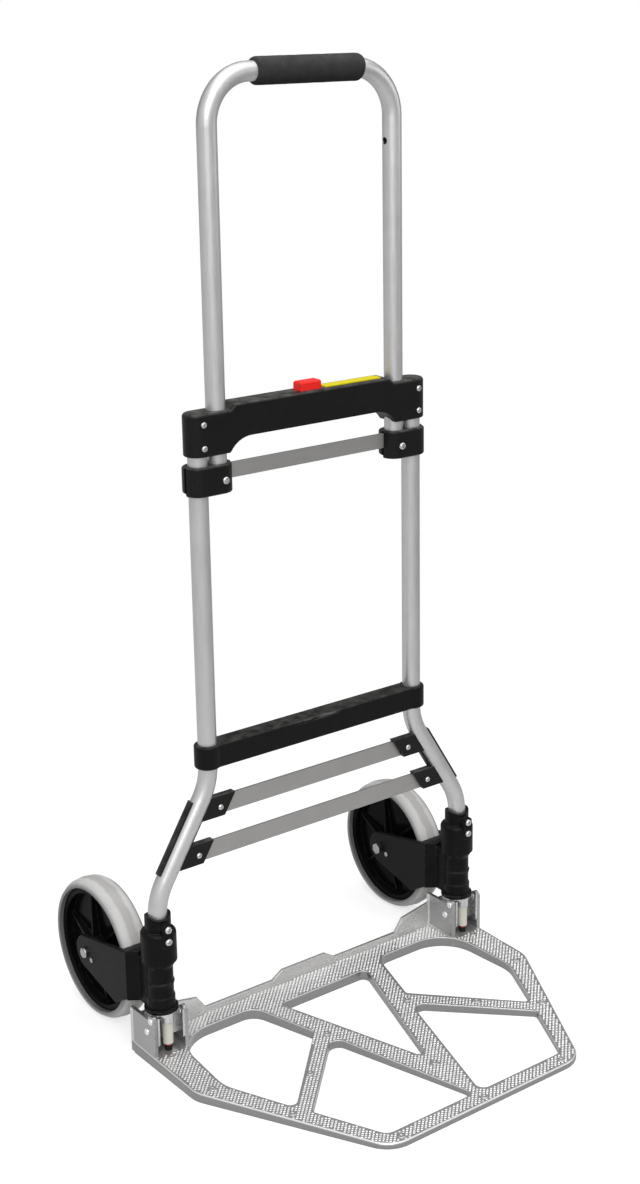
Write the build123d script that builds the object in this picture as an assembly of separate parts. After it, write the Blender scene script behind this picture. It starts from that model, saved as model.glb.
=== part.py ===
from build123d import *
import math
import os

os.makedirs("parts", exist_ok=True)

# Lengths are in millimetres. X points to the truck's right, the toe plate reaches towards -Y,
# and the floor is Z = 0 below the frame.

# Play between pieces
fit_gap = 0.05
slide_gap = 0.3
cheek_gap = 0.4
stop_gap = 1.0

# Tubes
tube_diameter = 22.0
tube_wall = 1.5

# Frame legs
frame_half_spacing = 150.25
leg_half_spacing = 225.5
leg_top_z = 750.0
splay_top_z = 322.0
splay_bottom_z = 199.0
leg_foot_z = 61.2
leg_bend_radius = 75.0

# Sliding handle
handle_tube_pitch = 25.75
handle_top_z = 1108.5
handle_bend_radius = 54.0
handle_foot_lift = 3.0
latch_hole_radius = 4.0

# Foam grip
grip_diameter = 30.6
grip_left_inset = 6.0
grip_reach_over_bend = 8.0
grip_end_round = 5.0

# Latch housing across the top of the frame
latch_below_leg_top = 44.8
latch_end_height = 48.0
latch_end_radius = 15.2
latch_raise_inset = 16.5
latch_raise_ramp = 5.5
latch_raise_height = 5.5
latch_raise_round = 3.0
latch_notch_inset = 8.0
latch_notch_flat_inset = 36.5
latch_notch_depth = 16.3
latch_edge_round = 4.0
latch_roof = 3.5
latch_floor = 3.0
latch_cavity_inset = 28.5
latch_cavity_half_depth = 11.5
latch_screw_lift = 10.0
latch_screw_pitch = 26.2

# Release button and its two latch pins
button_half_length = 14.4
button_half_depth = 7.0
button_proud = 10.4
button_round = 3.0
button_flange_lip = 2.5
button_flange_thickness = 4.0
button_press = 4.0
button_rise = 3.0
cam_half_length = 34.0
cam_thickness = 6.0
cam_web = 1.8
cam_slot_play = 0.3
pin_radius = 3.5
pin_lift = 30.8
pin_tip_gap = 0.4
pin_rod_end_x = 40.0
pin_block_length = 8.0
pin_tab_thickness = 3.0
pin_tab_overhang = 4.0
peg_radius = 2.0
peg_x = 25.0
button_spring_radius = 4.5
button_spring_wire = 1.2
button_spring_notch = 14.0

# Strip on top of the latch housing
strip_end_gap = 7.0
strip_width = 14.0
strip_thickness = 1.2
strip_button_gap = 6.6

# Clamp blocks that join the handle to the frame tubes, and the flat bar between them
clamp_below_latch = 11.2
clamp_height = 33.2
clamp_front_radius = 16.0
clamp_rear_radius = 17.5
clamp_rear_raise = 3.5
clamp_edge_round = 2.5
clamp_screw_lift = 15.5
handle_bar_lift = 12.8
handle_bar_height = 17.6
handle_bar_thickness = 3.0
handle_bar_tube_gap = 0.5

# Lower cross bar
cross_bar_bottom_z = 341.4
cross_bar_height = 27.8
cross_bar_end_radius = 15.5
cross_bar_half_depth = 13.0
cross_bar_edge_round = 2.5
cross_bar_wall = 3.5
cross_bar_pocket_inset = 22.25

# Slats and the brackets that hold them to the splayed legs
slat_height = 21.5
slat_thickness = 3.0
upper_slat_z = 290.2
lower_slat_z = 238.8
slat_tube_gap = 20.0
bracket_radius = 13.2
bracket_front_y = -3.5
bracket_top_z = 298.0
bracket_bottom_z = 221.0
tab_reach = 43.5
tab_front_y = -6.5
tab_rear_y = 3.0
tab_below_slat = 0.8
tab_above_slat = 2.8
tab_screw_from_end = 13.0

# Fixed collars above the wheel forks
collar_body_radius = 20.8
collar_body_height = 40.7
collar_body_round = 5.2
collar_foot_chamfer = 2.2
collar_ring_radius = 15.2
collar_ring_height = 19.0
collar_scoop_radius = 34.0
collar_scoop_depth = 3.5
collar_boss_front_y = -22.0
collar_boss_half_width = 7.0
collar_boss_drop = 7.0
collar_boss_height = 29.0
collar_boss_round = 4.0
collar_screw_from_top = 12.5
collar_screw_pitch = 15.1

# Wheel forks that turn on the legs
sleeve_height = 60.0
sleeve_radius = 15.4
sleeve_flare_radius = 18.7
sleeve_flare_height = 5.5
sleeve_step_one_z = 97.0
sleeve_step_two_z = 78.5
sleeve_lip = 1.3
sleeve_lip_height = 6.0
sleeve_flange_radius = 19.8
sleeve_flange_height = 3.5
fork_web_start_y = 5.0
fork_neck_half_width = 13.0
fork_neck_y = 25.0
fork_neck_drop = 0.6
fork_shoulder_y = 34.0
fork_top_rise = 5.0
fork_web_bottom_z = 63.8
fork_web_bottom_y = 36.0
fork_low_y = 62.0
fork_low_z = 48.5
arm_thickness = 5.0
arm_tyre_gap = 3.0
arm_end_radius = 21.0
arm_edge_round = 1.5
tyre_web_gap = 4.0
arm_pin_radius = 3.0
arm_pin_forward = 15.0
arm_pin_below = 4.0
arm_pin_proud = 1.2
arm_pin_depth = 3.0

# Wheels
wheel_radius = 86.4
axle_y = 127.5
tyre_width = 35.0
tyre_thickness = 10.5
tyre_shoulder = 7.0
tyre_crown = 2.6
hub_rim_thickness = 7.5
hub_rim_half_width = 13.0
hub_web_half_thickness = 2.5
hub_boss_radius = 14.0
hub_rib_count = 6
hub_rib_turn = -12.0
hub_rib_thickness = 2.6
hub_rib_boss_height = 15.0
hub_rib_rim_height = 6.0
bush_radius = 6.5
bush_length = 12.0
axle_radius = 4.0
axle_head_radius = 6.5
axle_head_height = 4.0
axle_nut_across = 13.0
axle_nut_height = 6.0

# Hinge yokes under the legs
yoke_ring_radius = 18.2
yoke_ring_thickness = 4.0
yoke_spigot_height = 30.0
yoke_cheek_thickness = 2.6
yoke_cheek_front_y = -20.5
yoke_cheek_rear_y = 7.0
yoke_cheek_drop = 33.2
yoke_cheek_round = 5.0
yoke_wall_front_y = -2.0
yoke_guide_radius = 7.6
yoke_guide_drop = 8.0
yoke_guide_roof = 1.5

# Toe plate hinge
hinge_y = -13.5
hinge_z = 57.0
hinge_rivet_radius = 3.0
hinge_rivet_head_radius = 4.2
hinge_rivet_head_height = 1.8
stop_rivet_back = 8.5
stop_rivet_below = 16.5
stop_rivet_radius = 2.5
ear_thickness = 4.6
ear_top_z = 56.5
ear_lobe_radius = 6.5

# Toe plate
toe_side_margin = 24.5
toe_rear_y = 32.0
toe_front_y = -317.0
toe_side_corner_y = -105.0
toe_front_half_width = 139.5
toe_rear_thickness = 13.5
toe_front_thickness = 6.6
toe_side_corner_round = 40.0
toe_front_corner_round = 38.0
toe_rear_corner_round = 10.0
toe_edge_round = 3.0
toe_lip_thickness = 4.0
toe_lip_top_z = 19.5
lip_tab_top_z = 29.0
lip_tab_top_half_width = 33.0
lip_tab_base_half_width = 48.0
corner_tab_base_inset = 79.5
corner_tab_low_inset = 67.5
corner_tab_low_z = 36.0
corner_tab_high_z = 45.0

# Openings in the toe plate
rear_opening_side_inset = 42.0
rear_opening_waist_inset = 33.5
rear_opening_rim = 25.0
front_opening_rim = 25.7
front_opening_corner_inset = 11.0
front_opening_front_rim = 21.5
rear_opening_tip_y = -196.0
front_opening_side_y = -213.0

# Push rods between the yokes and the toe plate
rod_y = -12.0
rod_radius = 6.2
rod_bottom_z = 22.0
rod_top_z = 54.2
rod_bore_radius = 4.0
rod_bore_floor_z = 36.0
rod_spring_radius = 3.6
rod_spring_wire = 1.0
rod_tip_radius = 4.0
rod_tip_height = 3.0
rod_tip_stem_radius = 2.5
rod_tip_stem_height = 6.0
rod_pad_radius = 4.2

# Screws
small_head_radius = 3.6
large_head_radius = 4.4
head_height = 2.4
shank_radius = 1.9

# Sizes that follow from the ones above
tube_radius = tube_diameter / 2
tube_bore = tube_radius - tube_wall
handle_half_spacing = frame_half_spacing - handle_tube_pitch
latch_raise_half_length = handle_half_spacing - latch_raise_inset
latch_notch_half_width = handle_half_spacing - latch_notch_inset
latch_notch_flat_half_width = handle_half_spacing - latch_notch_flat_inset
latch_cavity_half_length = handle_half_spacing - latch_cavity_inset
cross_bar_pocket_half_length = frame_half_spacing - cross_bar_pocket_inset
toe_half_width = leg_half_spacing + toe_side_margin
corner_tab_base_x = leg_half_spacing - corner_tab_base_inset
corner_tab_low_x = leg_half_spacing - corner_tab_low_inset
latch_bottom_z = leg_top_z - latch_below_leg_top
latch_end_top_z = latch_bottom_z + latch_end_height
latch_top_z = latch_end_top_z + latch_raise_height
latch_ceiling_z = latch_top_z - latch_roof
latch_mid_bottom_z = latch_bottom_z + latch_notch_depth
latch_cavity_floor_z = latch_mid_bottom_z + latch_floor
latch_screw_low_z = latch_bottom_z + latch_screw_lift
pin_z = latch_bottom_z + pin_lift
clamp_top_z = latch_bottom_z - clamp_below_latch
clamp_bottom_z = clamp_top_z - clamp_height
clamp_screw_z = clamp_bottom_z + clamp_screw_lift
handle_bar_bottom_z = clamp_bottom_z + handle_bar_lift
front_opening_front_y = toe_front_y + front_opening_front_rim
cross_bar_top_z = cross_bar_bottom_z + cross_bar_height
handle_travel = clamp_bottom_z - cross_bar_top_z - stop_gap
handle_foot_z = clamp_bottom_z + handle_foot_lift
sleeve_bottom_z = leg_foot_z + slide_gap
sleeve_top_z = sleeve_bottom_z + sleeve_height
collar_bottom_z = sleeve_top_z + slide_gap
collar_shoulder_z = collar_bottom_z + collar_body_height
collar_top_z = collar_shoulder_z + collar_ring_height
collar_boss_top_z = collar_top_z - collar_boss_drop
fork_neck_z = sleeve_top_z - fork_neck_drop
fork_top_z = sleeve_top_z + fork_top_rise
arm_inner = tyre_width / 2 + arm_tyre_gap
arm_outer = arm_inner + arm_thickness
axle_z = wheel_radius
hub_radius = wheel_radius - tyre_thickness
hub_boss_half_width = arm_inner - slide_gap
yoke_ring_bottom_z = leg_foot_z - yoke_ring_thickness
ear_inner = yoke_ring_radius + cheek_gap
ear_outer = ear_inner + ear_thickness
toe_slope = (toe_rear_thickness - toe_front_thickness) / (toe_rear_y - toe_front_y)
lip_front_y = toe_rear_y - toe_lip_thickness
ear_front_y = hinge_y - ear_lobe_radius
splay_slope = (leg_half_spacing - frame_half_spacing) / (splay_top_z - splay_bottom_z)
rod_guide_top_z = leg_foot_z - yoke_guide_roof
sides = (("left", -1), ("right", 1))


def toe_top_z(y):
    return toe_rear_thickness - toe_slope * (toe_rear_y - y)


def splay_x(z):
    return frame_half_spacing + splay_slope * (splay_top_z - z)


# How far out the toe plate's slanting side is at a given y
def toe_side_x(y):
    share = (toe_side_corner_y - y) / (toe_side_corner_y - toe_front_y)
    return toe_half_width + share * (toe_front_half_width - toe_half_width)


# Outlines of the toe plate's openings on the right half, as (x, y, corner radius)
rear_opening = [
    (96, 2, 22),
    (toe_half_width - rear_opening_side_inset, 2, 50),
    (toe_half_width - rear_opening_waist_inset, -112, 50),
    (toe_side_x(rear_opening_tip_y) - rear_opening_rim, rear_opening_tip_y, 8),
    (70, -86, 5),
]
front_opening = [
    (60, -105, 12),
    (toe_side_x(front_opening_side_y) - front_opening_rim, front_opening_side_y, 6),
    (toe_front_half_width - front_opening_corner_inset, front_opening_front_y, 14),
    (4, front_opening_front_y, 10),
]
middle_opening = [(67, -11, 8), (0, -212, 6), (-67, -11, 8)]

# A cylinder that stands on its own base
on_base = (Align.CENTER, Align.CENTER, Align.MIN)


def block(x_range, y_range, z_range):
    size = [high - low for low, high in (x_range, y_range, z_range)]
    corner = Pos(x_range[0], y_range[0], z_range[0])
    return corner * Box(*size, align=(Align.MIN, Align.MIN, Align.MIN))


def column(x, y, radius, bottom, top):
    foot = Pos(x, y, bottom)
    return foot * Cylinder(radius, top - bottom, align=on_base)


def rod_along_x(start_x, end_x, y, z, radius):
    low = min(start_x, end_x)
    length = abs(end_x - start_x)
    turned = Rot(0, 90, 0) * Cylinder(radius, length, align=on_base)
    return Pos(low, y, z) * turned


def rod_along_y(x, front_y, rear_y, z, radius):
    turned = Rot(-90, 0, 0) * Cylinder(radius, rear_y - front_y, align=on_base)
    return Pos(x, front_y, z) * turned


def rounded_face(corners):
    points = [(x, y) for x, y, radius in corners]
    radii = [radius for x, y, radius in corners]
    return make_face(FilletPolyline(*points, radius=radii, close=True))


def tube_along(path, radius):
    start = Plane(origin=path @ 0, z_dir=path % 0)
    return sweep(start * Circle(radius), path=path)


def leg_path(side):
    points = [
        (side * frame_half_spacing, 0, leg_top_z),
        (side * frame_half_spacing, 0, splay_top_z),
        (side * leg_half_spacing, 0, splay_bottom_z),
        (side * leg_half_spacing, 0, leg_foot_z),
    ]
    return FilletPolyline(*points, radius=leg_bend_radius)


def handle_path():
    points = [
        (-handle_half_spacing, 0, handle_foot_z),
        (-handle_half_spacing, 0, handle_top_z),
        (handle_half_spacing, 0, handle_top_z),
        (handle_half_spacing, 0, handle_foot_z),
    ]
    return FilletPolyline(*points, radius=handle_bend_radius)


def leg_envelope(side):
    return tube_along(leg_path(side), tube_radius + fit_gap)


# A pan-head screw that faces the front, with its head seated on the plane y = seat_y
def front_screw(x, seat_y, z, head_radius, tip_y):
    head = rod_along_y(x, seat_y - head_height, seat_y, z, head_radius)
    head = fillet(head.edges().group_by(Axis.Y)[0], head_height * 0.8)
    return head + rod_along_y(x, seat_y, tip_y, z, shank_radius)


def front_screw_hole(x, front_y, z, tip_y):
    return rod_along_y(x, front_y, tip_y + fit_gap, z, shank_radius + fit_gap)


def latch_screw_places():
    heights = (latch_screw_low_z, latch_screw_low_z + latch_screw_pitch)
    return [(side * frame_half_spacing, z) for name, side in sides for z in heights]


tube_screw_tip_y = -tube_bore + 1.0


# Bent aluminium leg, drilled for the latch screws at its top and the collar screws near its foot
def make_leg(side):
    path = leg_path(side)
    leg = tube_along(path, tube_radius) - tube_along(path, tube_bore)
    for x, z in latch_screw_places():
        if x * side > 0:
            leg -= front_screw_hole(x, -latch_end_radius, z, tube_screw_tip_y)
    for z in collar_screw_heights():
        leg -= front_screw_hole(side * leg_half_spacing, collar_boss_front_y, z, tube_screw_tip_y)
    return leg


# U-shaped handle tube with a latch hole low and high on the inner side of each limb
def make_handle_tube():
    path = handle_path()
    tube = tube_along(path, tube_radius) - tube_along(path, tube_bore)
    inner_x = handle_half_spacing - tube_radius
    for name, side in sides:
        limb = side * handle_half_spacing
        for z in (pin_z, pin_z + handle_travel):
            tube -= rod_along_x(side * (inner_x - 1), limb, 0, z, latch_hole_radius)
        tube -= front_screw_hole(limb, -clamp_front_radius, clamp_screw_z, tube_screw_tip_y)
    return tube


def make_grip():
    straight = handle_half_spacing - handle_bend_radius
    turn = math.degrees(math.asin(grip_reach_over_bend / handle_bend_radius))
    flat = Line((grip_left_inset - straight, handle_top_z), (straight, handle_top_z))
    bend = JernArc((straight, handle_top_z), (1, 0), handle_bend_radius, -turn)
    path = Plane.XZ * (flat + bend)
    foam = tube_along(path, grip_diameter / 2)
    rims = foam.edges().filter_by(GeomType.CIRCLE).sort_by(Axis.X)
    foam = fillet([rims[0], rims[-1]], grip_end_round)
    return foam - tube_along(handle_path(), tube_radius + fit_gap)


# Latch housing: a bar with round ends, arched underneath, moulded as two shells
def latch_blank():
    plan = SlotCenterToCenter(2 * frame_half_spacing, 2 * latch_end_radius)
    body = extrude(Plane.XY.offset(latch_bottom_z) * plan, latch_end_height)
    body = fillet(body.faces().sort_by(Axis.Z)[-1].edges(), latch_edge_round)
    root_z = latch_end_top_z - latch_edge_round
    run = latch_raise_ramp * (latch_top_z - root_z) / latch_raise_height
    long = latch_raise_half_length
    side_view = Polyline(
        (-long - run, root_z),
        (long + run, root_z),
        (long, latch_top_z),
        (-long, latch_top_z),
        close=True,
    )
    ridge = extrude(Plane.XZ * make_face(side_view), latch_end_radius, both=True)
    upper_edges = [edge for edge in ridge.edges() if edge.center().Z > root_z + fit_gap]
    body += fillet(upper_edges, latch_raise_round)
    wide = latch_notch_half_width
    flat = latch_notch_flat_half_width
    below = latch_bottom_z - latch_notch_depth
    left = Line((-wide, below), (-wide, latch_bottom_z))
    rise = TangentArc((-flat, latch_mid_bottom_z), (-wide, latch_bottom_z), tangent=(-1, 0))
    roof = Line((-flat, latch_mid_bottom_z), (flat, latch_mid_bottom_z))
    fall = TangentArc((flat, latch_mid_bottom_z), (wide, latch_bottom_z), tangent=(1, 0))
    right = Line((wide, latch_bottom_z), (wide, below))
    base = Line((wide, below), (-wide, below))
    notch = make_face([left, rise, roof, fall, right, base])
    body -= extrude(Plane.XZ * notch, 2 * latch_end_radius, both=True)
    feet = body.faces().filter_by(Axis.Z).group_by(Axis.Z)[0]
    return fillet(feet.edges(), latch_edge_round / 2)


def make_latch_shells():
    body = latch_blank()
    for name, side in sides:
        body -= leg_envelope(side)
        bore = tube_radius + slide_gap
        body -= column(side * handle_half_spacing, 0, bore, latch_bottom_z - 1, latch_top_z + 1)
        wall_end = side * handle_half_spacing
        body -= rod_along_x(side * (latch_cavity_half_length - 1), wall_end, 0, pin_z, pin_radius + fit_gap)
    long = latch_cavity_half_length
    deep = latch_cavity_half_depth
    body -= block((-long, long), (-deep, deep), (latch_cavity_floor_z, latch_ceiling_z))
    wide = button_half_length + slide_gap
    deep = button_half_depth + slide_gap
    body -= block((-wide, wide), (-deep, deep), (latch_ceiling_z - 1, latch_top_z + 1))
    for x, z in latch_screw_places():
        body -= front_screw_hole(x, -latch_end_radius - 1, z, tube_screw_tip_y)
    reach = frame_half_spacing + latch_end_radius + 1
    front_half = block((-reach, reach), (-latch_end_radius - 1, 0), (latch_bottom_z - 1, latch_top_z + 1))
    return body & front_half, body - front_half


def make_latch_screws():
    return [
        front_screw(x, -latch_end_radius, z, small_head_radius, tube_screw_tip_y)
        for x, z in latch_screw_places()
    ]


# Button with a retaining flange and a cam plate whose slots lean inwards as they rise
def make_button():
    flange_top = latch_ceiling_z - button_rise - slide_gap
    flange_bottom = flange_top - button_flange_thickness
    wide = button_half_length
    deep = button_half_depth
    cap = block((-wide, wide), (-deep, deep), (flange_top, latch_top_z + button_proud))
    cap = fillet(cap.faces().sort_by(Axis.Z)[-1].edges(), button_round)
    lip = button_flange_lip
    flange = block((-wide - lip, wide + lip), (-deep - lip, deep + lip), (flange_bottom, flange_top))
    slot_half_width = peg_radius + cam_slot_play
    plate_bottom = pin_z - button_rise - slot_half_width - cam_web
    half = cam_thickness / 2
    plate = block((-cam_half_length, cam_half_length), (-half, half), (plate_bottom, flange_bottom))
    notch_half = button_spring_radius + slide_gap
    notch_top = latch_cavity_floor_z + button_spring_notch
    plate -= block((-notch_half, notch_half), (-half, half), (plate_bottom, notch_top))
    for name, side in sides:
        low = (side * (peg_x + button_rise), pin_z - button_rise)
        high = (side * (peg_x - button_press), pin_z + button_press)
        slot = SlotOverall(
            math.dist(low, high) + 2 * slot_half_width,
            2 * slot_half_width,
            rotation=-side * 45,
        )
        middle = ((low[0] + high[0]) / 2, (low[1] + high[1]) / 2)
        plate -= extrude(Plane.XZ * Pos(*middle) * slot, cam_thickness, both=True)
    return cap + flange + plate


# Latch pin with a tab behind the cam plate and a peg that rides in the plate's slot
def make_latch_pin(side):
    tip = handle_half_spacing - tube_radius - pin_tip_gap
    rod = rod_along_x(side * tip, side * pin_rod_end_x, 0, pin_z, pin_radius)
    tab_front = cam_thickness / 2 + cheek_gap
    tab_rear = tab_front + pin_tab_thickness
    block_far = side * (pin_rod_end_x + pin_block_length)
    heights = (pin_z - pin_radius, pin_z + pin_radius)
    joint_x = sorted((block_far, side * pin_rod_end_x))
    tab_x = sorted((block_far, side * (peg_x - pin_tab_overhang)))
    joint = block(joint_x, (-cam_thickness / 2, tab_rear), heights)
    tab = block(tab_x, (tab_front, tab_rear), heights)
    peg = rod_along_y(side * peg_x, -cam_thickness / 2, tab_front, pin_z, peg_radius)
    return rod + joint + tab + peg


def make_button_spring():
    top = latch_cavity_floor_z + button_spring_notch
    outside = column(0, 0, button_spring_radius, latch_cavity_floor_z, top)
    return outside - column(0, 0, button_spring_radius - button_spring_wire, latch_cavity_floor_z, top)


def make_strip():
    start = button_half_length + strip_button_gap
    end = latch_raise_half_length - strip_end_gap
    half = strip_width / 2
    strip = block((start, end), (-half, half), (latch_top_z, latch_top_z + strip_thickness))
    return fillet(strip.edges().filter_by(Axis.Z), strip_width / 7)


# Clamp blocks: two half shells around one frame tube and one handle tube
def clamp_blank(side, radius, bottom, top):
    middle = side * (frame_half_spacing + handle_half_spacing) / 2
    plan = Pos(middle, 0) * SlotCenterToCenter(frame_half_spacing - handle_half_spacing, 2 * radius)
    body = extrude(Plane.XY.offset(bottom) * plan, top - bottom)
    rims = body.faces().sort_by(Axis.Z)[0].edges() + body.faces().sort_by(Axis.Z)[-1].edges()
    return fillet(rims, clamp_edge_round)


def clamp_cuts(side):
    below = clamp_bottom_z - clamp_height
    above = clamp_top_z + clamp_height
    slide_bore = column(side * frame_half_spacing, 0, tube_radius + slide_gap, below, above)
    seat = column(side * handle_half_spacing, 0, tube_radius + fit_gap, handle_foot_z, above)
    return slide_bore + seat + handle_bar_slot()


def handle_bar_half_length():
    return handle_half_spacing - tube_radius - handle_bar_tube_gap


def handle_bar_block(play):
    half = handle_bar_half_length() + play
    deep = handle_bar_thickness / 2 + play
    top = handle_bar_bottom_z + handle_bar_height
    return block((-half, half), (-deep, deep), (handle_bar_bottom_z - play, top + play))


def handle_bar_slot():
    return handle_bar_block(fit_gap)


def make_clamp_halves(side):
    front = clamp_blank(side, clamp_front_radius, clamp_bottom_z, clamp_top_z)
    rear = clamp_blank(side, clamp_rear_radius, clamp_bottom_z + clamp_rear_raise, clamp_top_z)
    reach = frame_half_spacing + 2 * clamp_rear_radius
    ahead = block((-reach, reach), (-2 * clamp_rear_radius, 0), (clamp_bottom_z - 1, clamp_top_z + 1))
    cuts = clamp_cuts(side)
    hole = front_screw_hole(
        side * handle_half_spacing, -clamp_front_radius - 1, clamp_screw_z, tube_screw_tip_y)
    return (front & ahead) - cuts - hole, rear - ahead - cuts


def make_clamp_screws():
    screws = []
    for name, side in sides:
        x = side * handle_half_spacing
        seat = -clamp_front_radius
        screws.append(front_screw(x, seat, clamp_screw_z, large_head_radius, tube_screw_tip_y))
    return screws


# Hollow moulded bar that ties the legs together above the splay
def make_cross_bar():
    half = cross_bar_half_depth
    middle = block(
        (-frame_half_spacing, frame_half_spacing), (-half, half), (cross_bar_bottom_z, cross_bar_top_z))
    middle = fillet(middle.edges().filter_by(Axis.X), cross_bar_edge_round)
    bar = middle
    for name, side in sides:
        end = column(side * frame_half_spacing, 0, cross_bar_end_radius, cross_bar_bottom_z, cross_bar_top_z)
        bar += fillet(end.edges().filter_by(GeomType.CIRCLE), cross_bar_edge_round)
    long = cross_bar_pocket_half_length
    deep = half - cross_bar_wall
    bar -= block((-long, long), (-deep, deep), (cross_bar_bottom_z - 1, cross_bar_top_z - cross_bar_wall))
    for name, side in sides:
        bar -= leg_envelope(side)
    return bar


def slat_half_length(z):
    return splay_x(z) - slat_tube_gap


def slat_block(z, play):
    half = slat_half_length(z) + play
    deep = slat_thickness / 2 + play
    return block((-half, half), (-deep, deep), (z - slat_height / 2 - play, z + slat_height / 2 + play))


def make_slat(z):
    slat = slat_block(z, 0)
    for name, side in sides:
        slat -= front_screw_hole(side * tab_screw_x(z), tab_front_y, z, tab_rear_y)
    return slat


def tab_screw_x(z):
    return splay_x(z) - tab_reach + tab_screw_from_end


# Bracket: a round-backed saddle on the splayed tube with a hooded socket for each slat
def make_bracket(side):
    top = Vector(side * splay_x(bracket_top_z), 0, bracket_top_z)
    bottom = Vector(side * splay_x(bracket_bottom_z), 0, bracket_bottom_z)
    body = tube_along(Line(top, bottom), bracket_radius)
    far = leg_half_spacing + bracket_radius
    heights = (bracket_bottom_z - 2 * bracket_radius, bracket_top_z + 2 * bracket_radius)
    body -= block((-far, far), (-2 * bracket_radius, bracket_front_y), heights)
    tab_bottom = lower_slat_z - slat_height / 2 - tab_below_slat
    inner_side = [
        (0, tab_bottom),
        (side * splay_x(tab_bottom), tab_bottom),
        (side * splay_x(heights[0]), heights[0]),
        (0, heights[0]),
    ]
    below_tab = make_face(Polyline(*inner_side, close=True))
    body -= extrude(Plane.XZ * below_tab, 2 * bracket_radius, both=True)
    for z in (upper_slat_z, lower_slat_z):
        low = z - slat_height / 2 - tab_below_slat
        high = z + slat_height / 2 + tab_above_slat
        corners = [
            (side * (splay_x(low) - tab_reach), low),
            (side * splay_x(low), low),
            (side * splay_x(high), high),
            (side * (splay_x(high) - tab_reach), high),
        ]
        tab = make_face(Polyline(*corners, close=True))
        body += extrude(Plane.XZ.offset(-tab_rear_y) * tab, tab_rear_y - tab_front_y)
    for z in (upper_slat_z, lower_slat_z):
        body -= slat_block(z, fit_gap)
        body -= front_screw_hole(side * tab_screw_x(z), tab_front_y - 1, z, tab_rear_y)
    return body - leg_envelope(side)


def make_slat_screws():
    tip = tab_rear_y - 1
    return [
        front_screw(side * tab_screw_x(z), tab_front_y, z, small_head_radius, tip)
        for name, side in sides
        for z in (upper_slat_z, lower_slat_z)
    ]


# Fixed collar: a one-piece moulding, scooped at its top, with two screws in a boss on its front
def make_collar(side):
    x = side * leg_half_spacing
    body = column(x, 0, collar_body_radius, collar_bottom_z, collar_shoulder_z)
    body = fillet(body.edges().group_by(Axis.Z)[-1], collar_body_round)
    body = chamfer(body.edges().group_by(Axis.Z)[0], collar_foot_chamfer)
    ring = column(x, 0, collar_ring_radius, collar_shoulder_z - collar_body_round, collar_top_z)
    scoop_z = collar_top_z - collar_scoop_depth + collar_scoop_radius
    reach = 2 * collar_ring_radius
    body += ring - rod_along_y(x, -reach, reach, scoop_z, collar_scoop_radius)
    wide = collar_boss_half_width
    heights = (collar_boss_top_z - collar_boss_height, collar_boss_top_z)
    boss = block((x - wide, x + wide), (collar_boss_front_y, 0), heights)
    boss = fillet(boss.edges().filter_by(Axis.Y), collar_boss_round)
    body += fillet(boss.faces().sort_by(Axis.Y)[0].edges(), collar_boss_round / 4)
    for z in collar_screw_heights():
        body -= front_screw_hole(x, collar_boss_front_y - 1, z, tube_screw_tip_y)
    return body - leg_envelope(side)


def collar_screw_heights():
    high = collar_top_z - collar_screw_from_top
    return (high, high - collar_screw_pitch)


def make_collar_screws():
    return [
        front_screw(side * leg_half_spacing, collar_boss_front_y, z, large_head_radius, tube_screw_tip_y)
        for name, side in sides
        for z in collar_screw_heights()
    ]


# Fork: a ringed sleeve that turns on the leg, with a neck and an arm on each side of the wheel
def sleeve_profile():
    lip = sleeve_radius + sleeve_lip
    flange_top_z = sleeve_bottom_z + sleeve_flange_height
    points = [
        (0, sleeve_top_z),
        (sleeve_flare_radius, sleeve_top_z),
        (sleeve_radius, sleeve_top_z - sleeve_flare_height),
        (sleeve_radius, sleeve_step_one_z + sleeve_lip),
        (lip, sleeve_step_one_z),
        (sleeve_radius, sleeve_step_one_z - sleeve_lip_height),
        (sleeve_radius, sleeve_step_two_z + sleeve_lip),
        (lip, sleeve_step_two_z),
        (lip, flange_top_z),
        (sleeve_flange_radius, flange_top_z),
        (sleeve_flange_radius, sleeve_bottom_z),
        (0, sleeve_bottom_z),
    ]
    return make_face(Polyline(*points, close=True))


# The point where a line from a corner of the fork runs smoothly into the arm's round end
def arm_tangent_point(corner, way):
    away = (corner[0] - axle_y, corner[1] - axle_z)
    bearing = math.atan2(away[1], away[0])
    spread = math.acos(arm_end_radius / math.hypot(*away))
    angle = bearing + way * spread
    return axle_y + arm_end_radius * math.cos(angle), axle_z + arm_end_radius * math.sin(angle)


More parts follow.
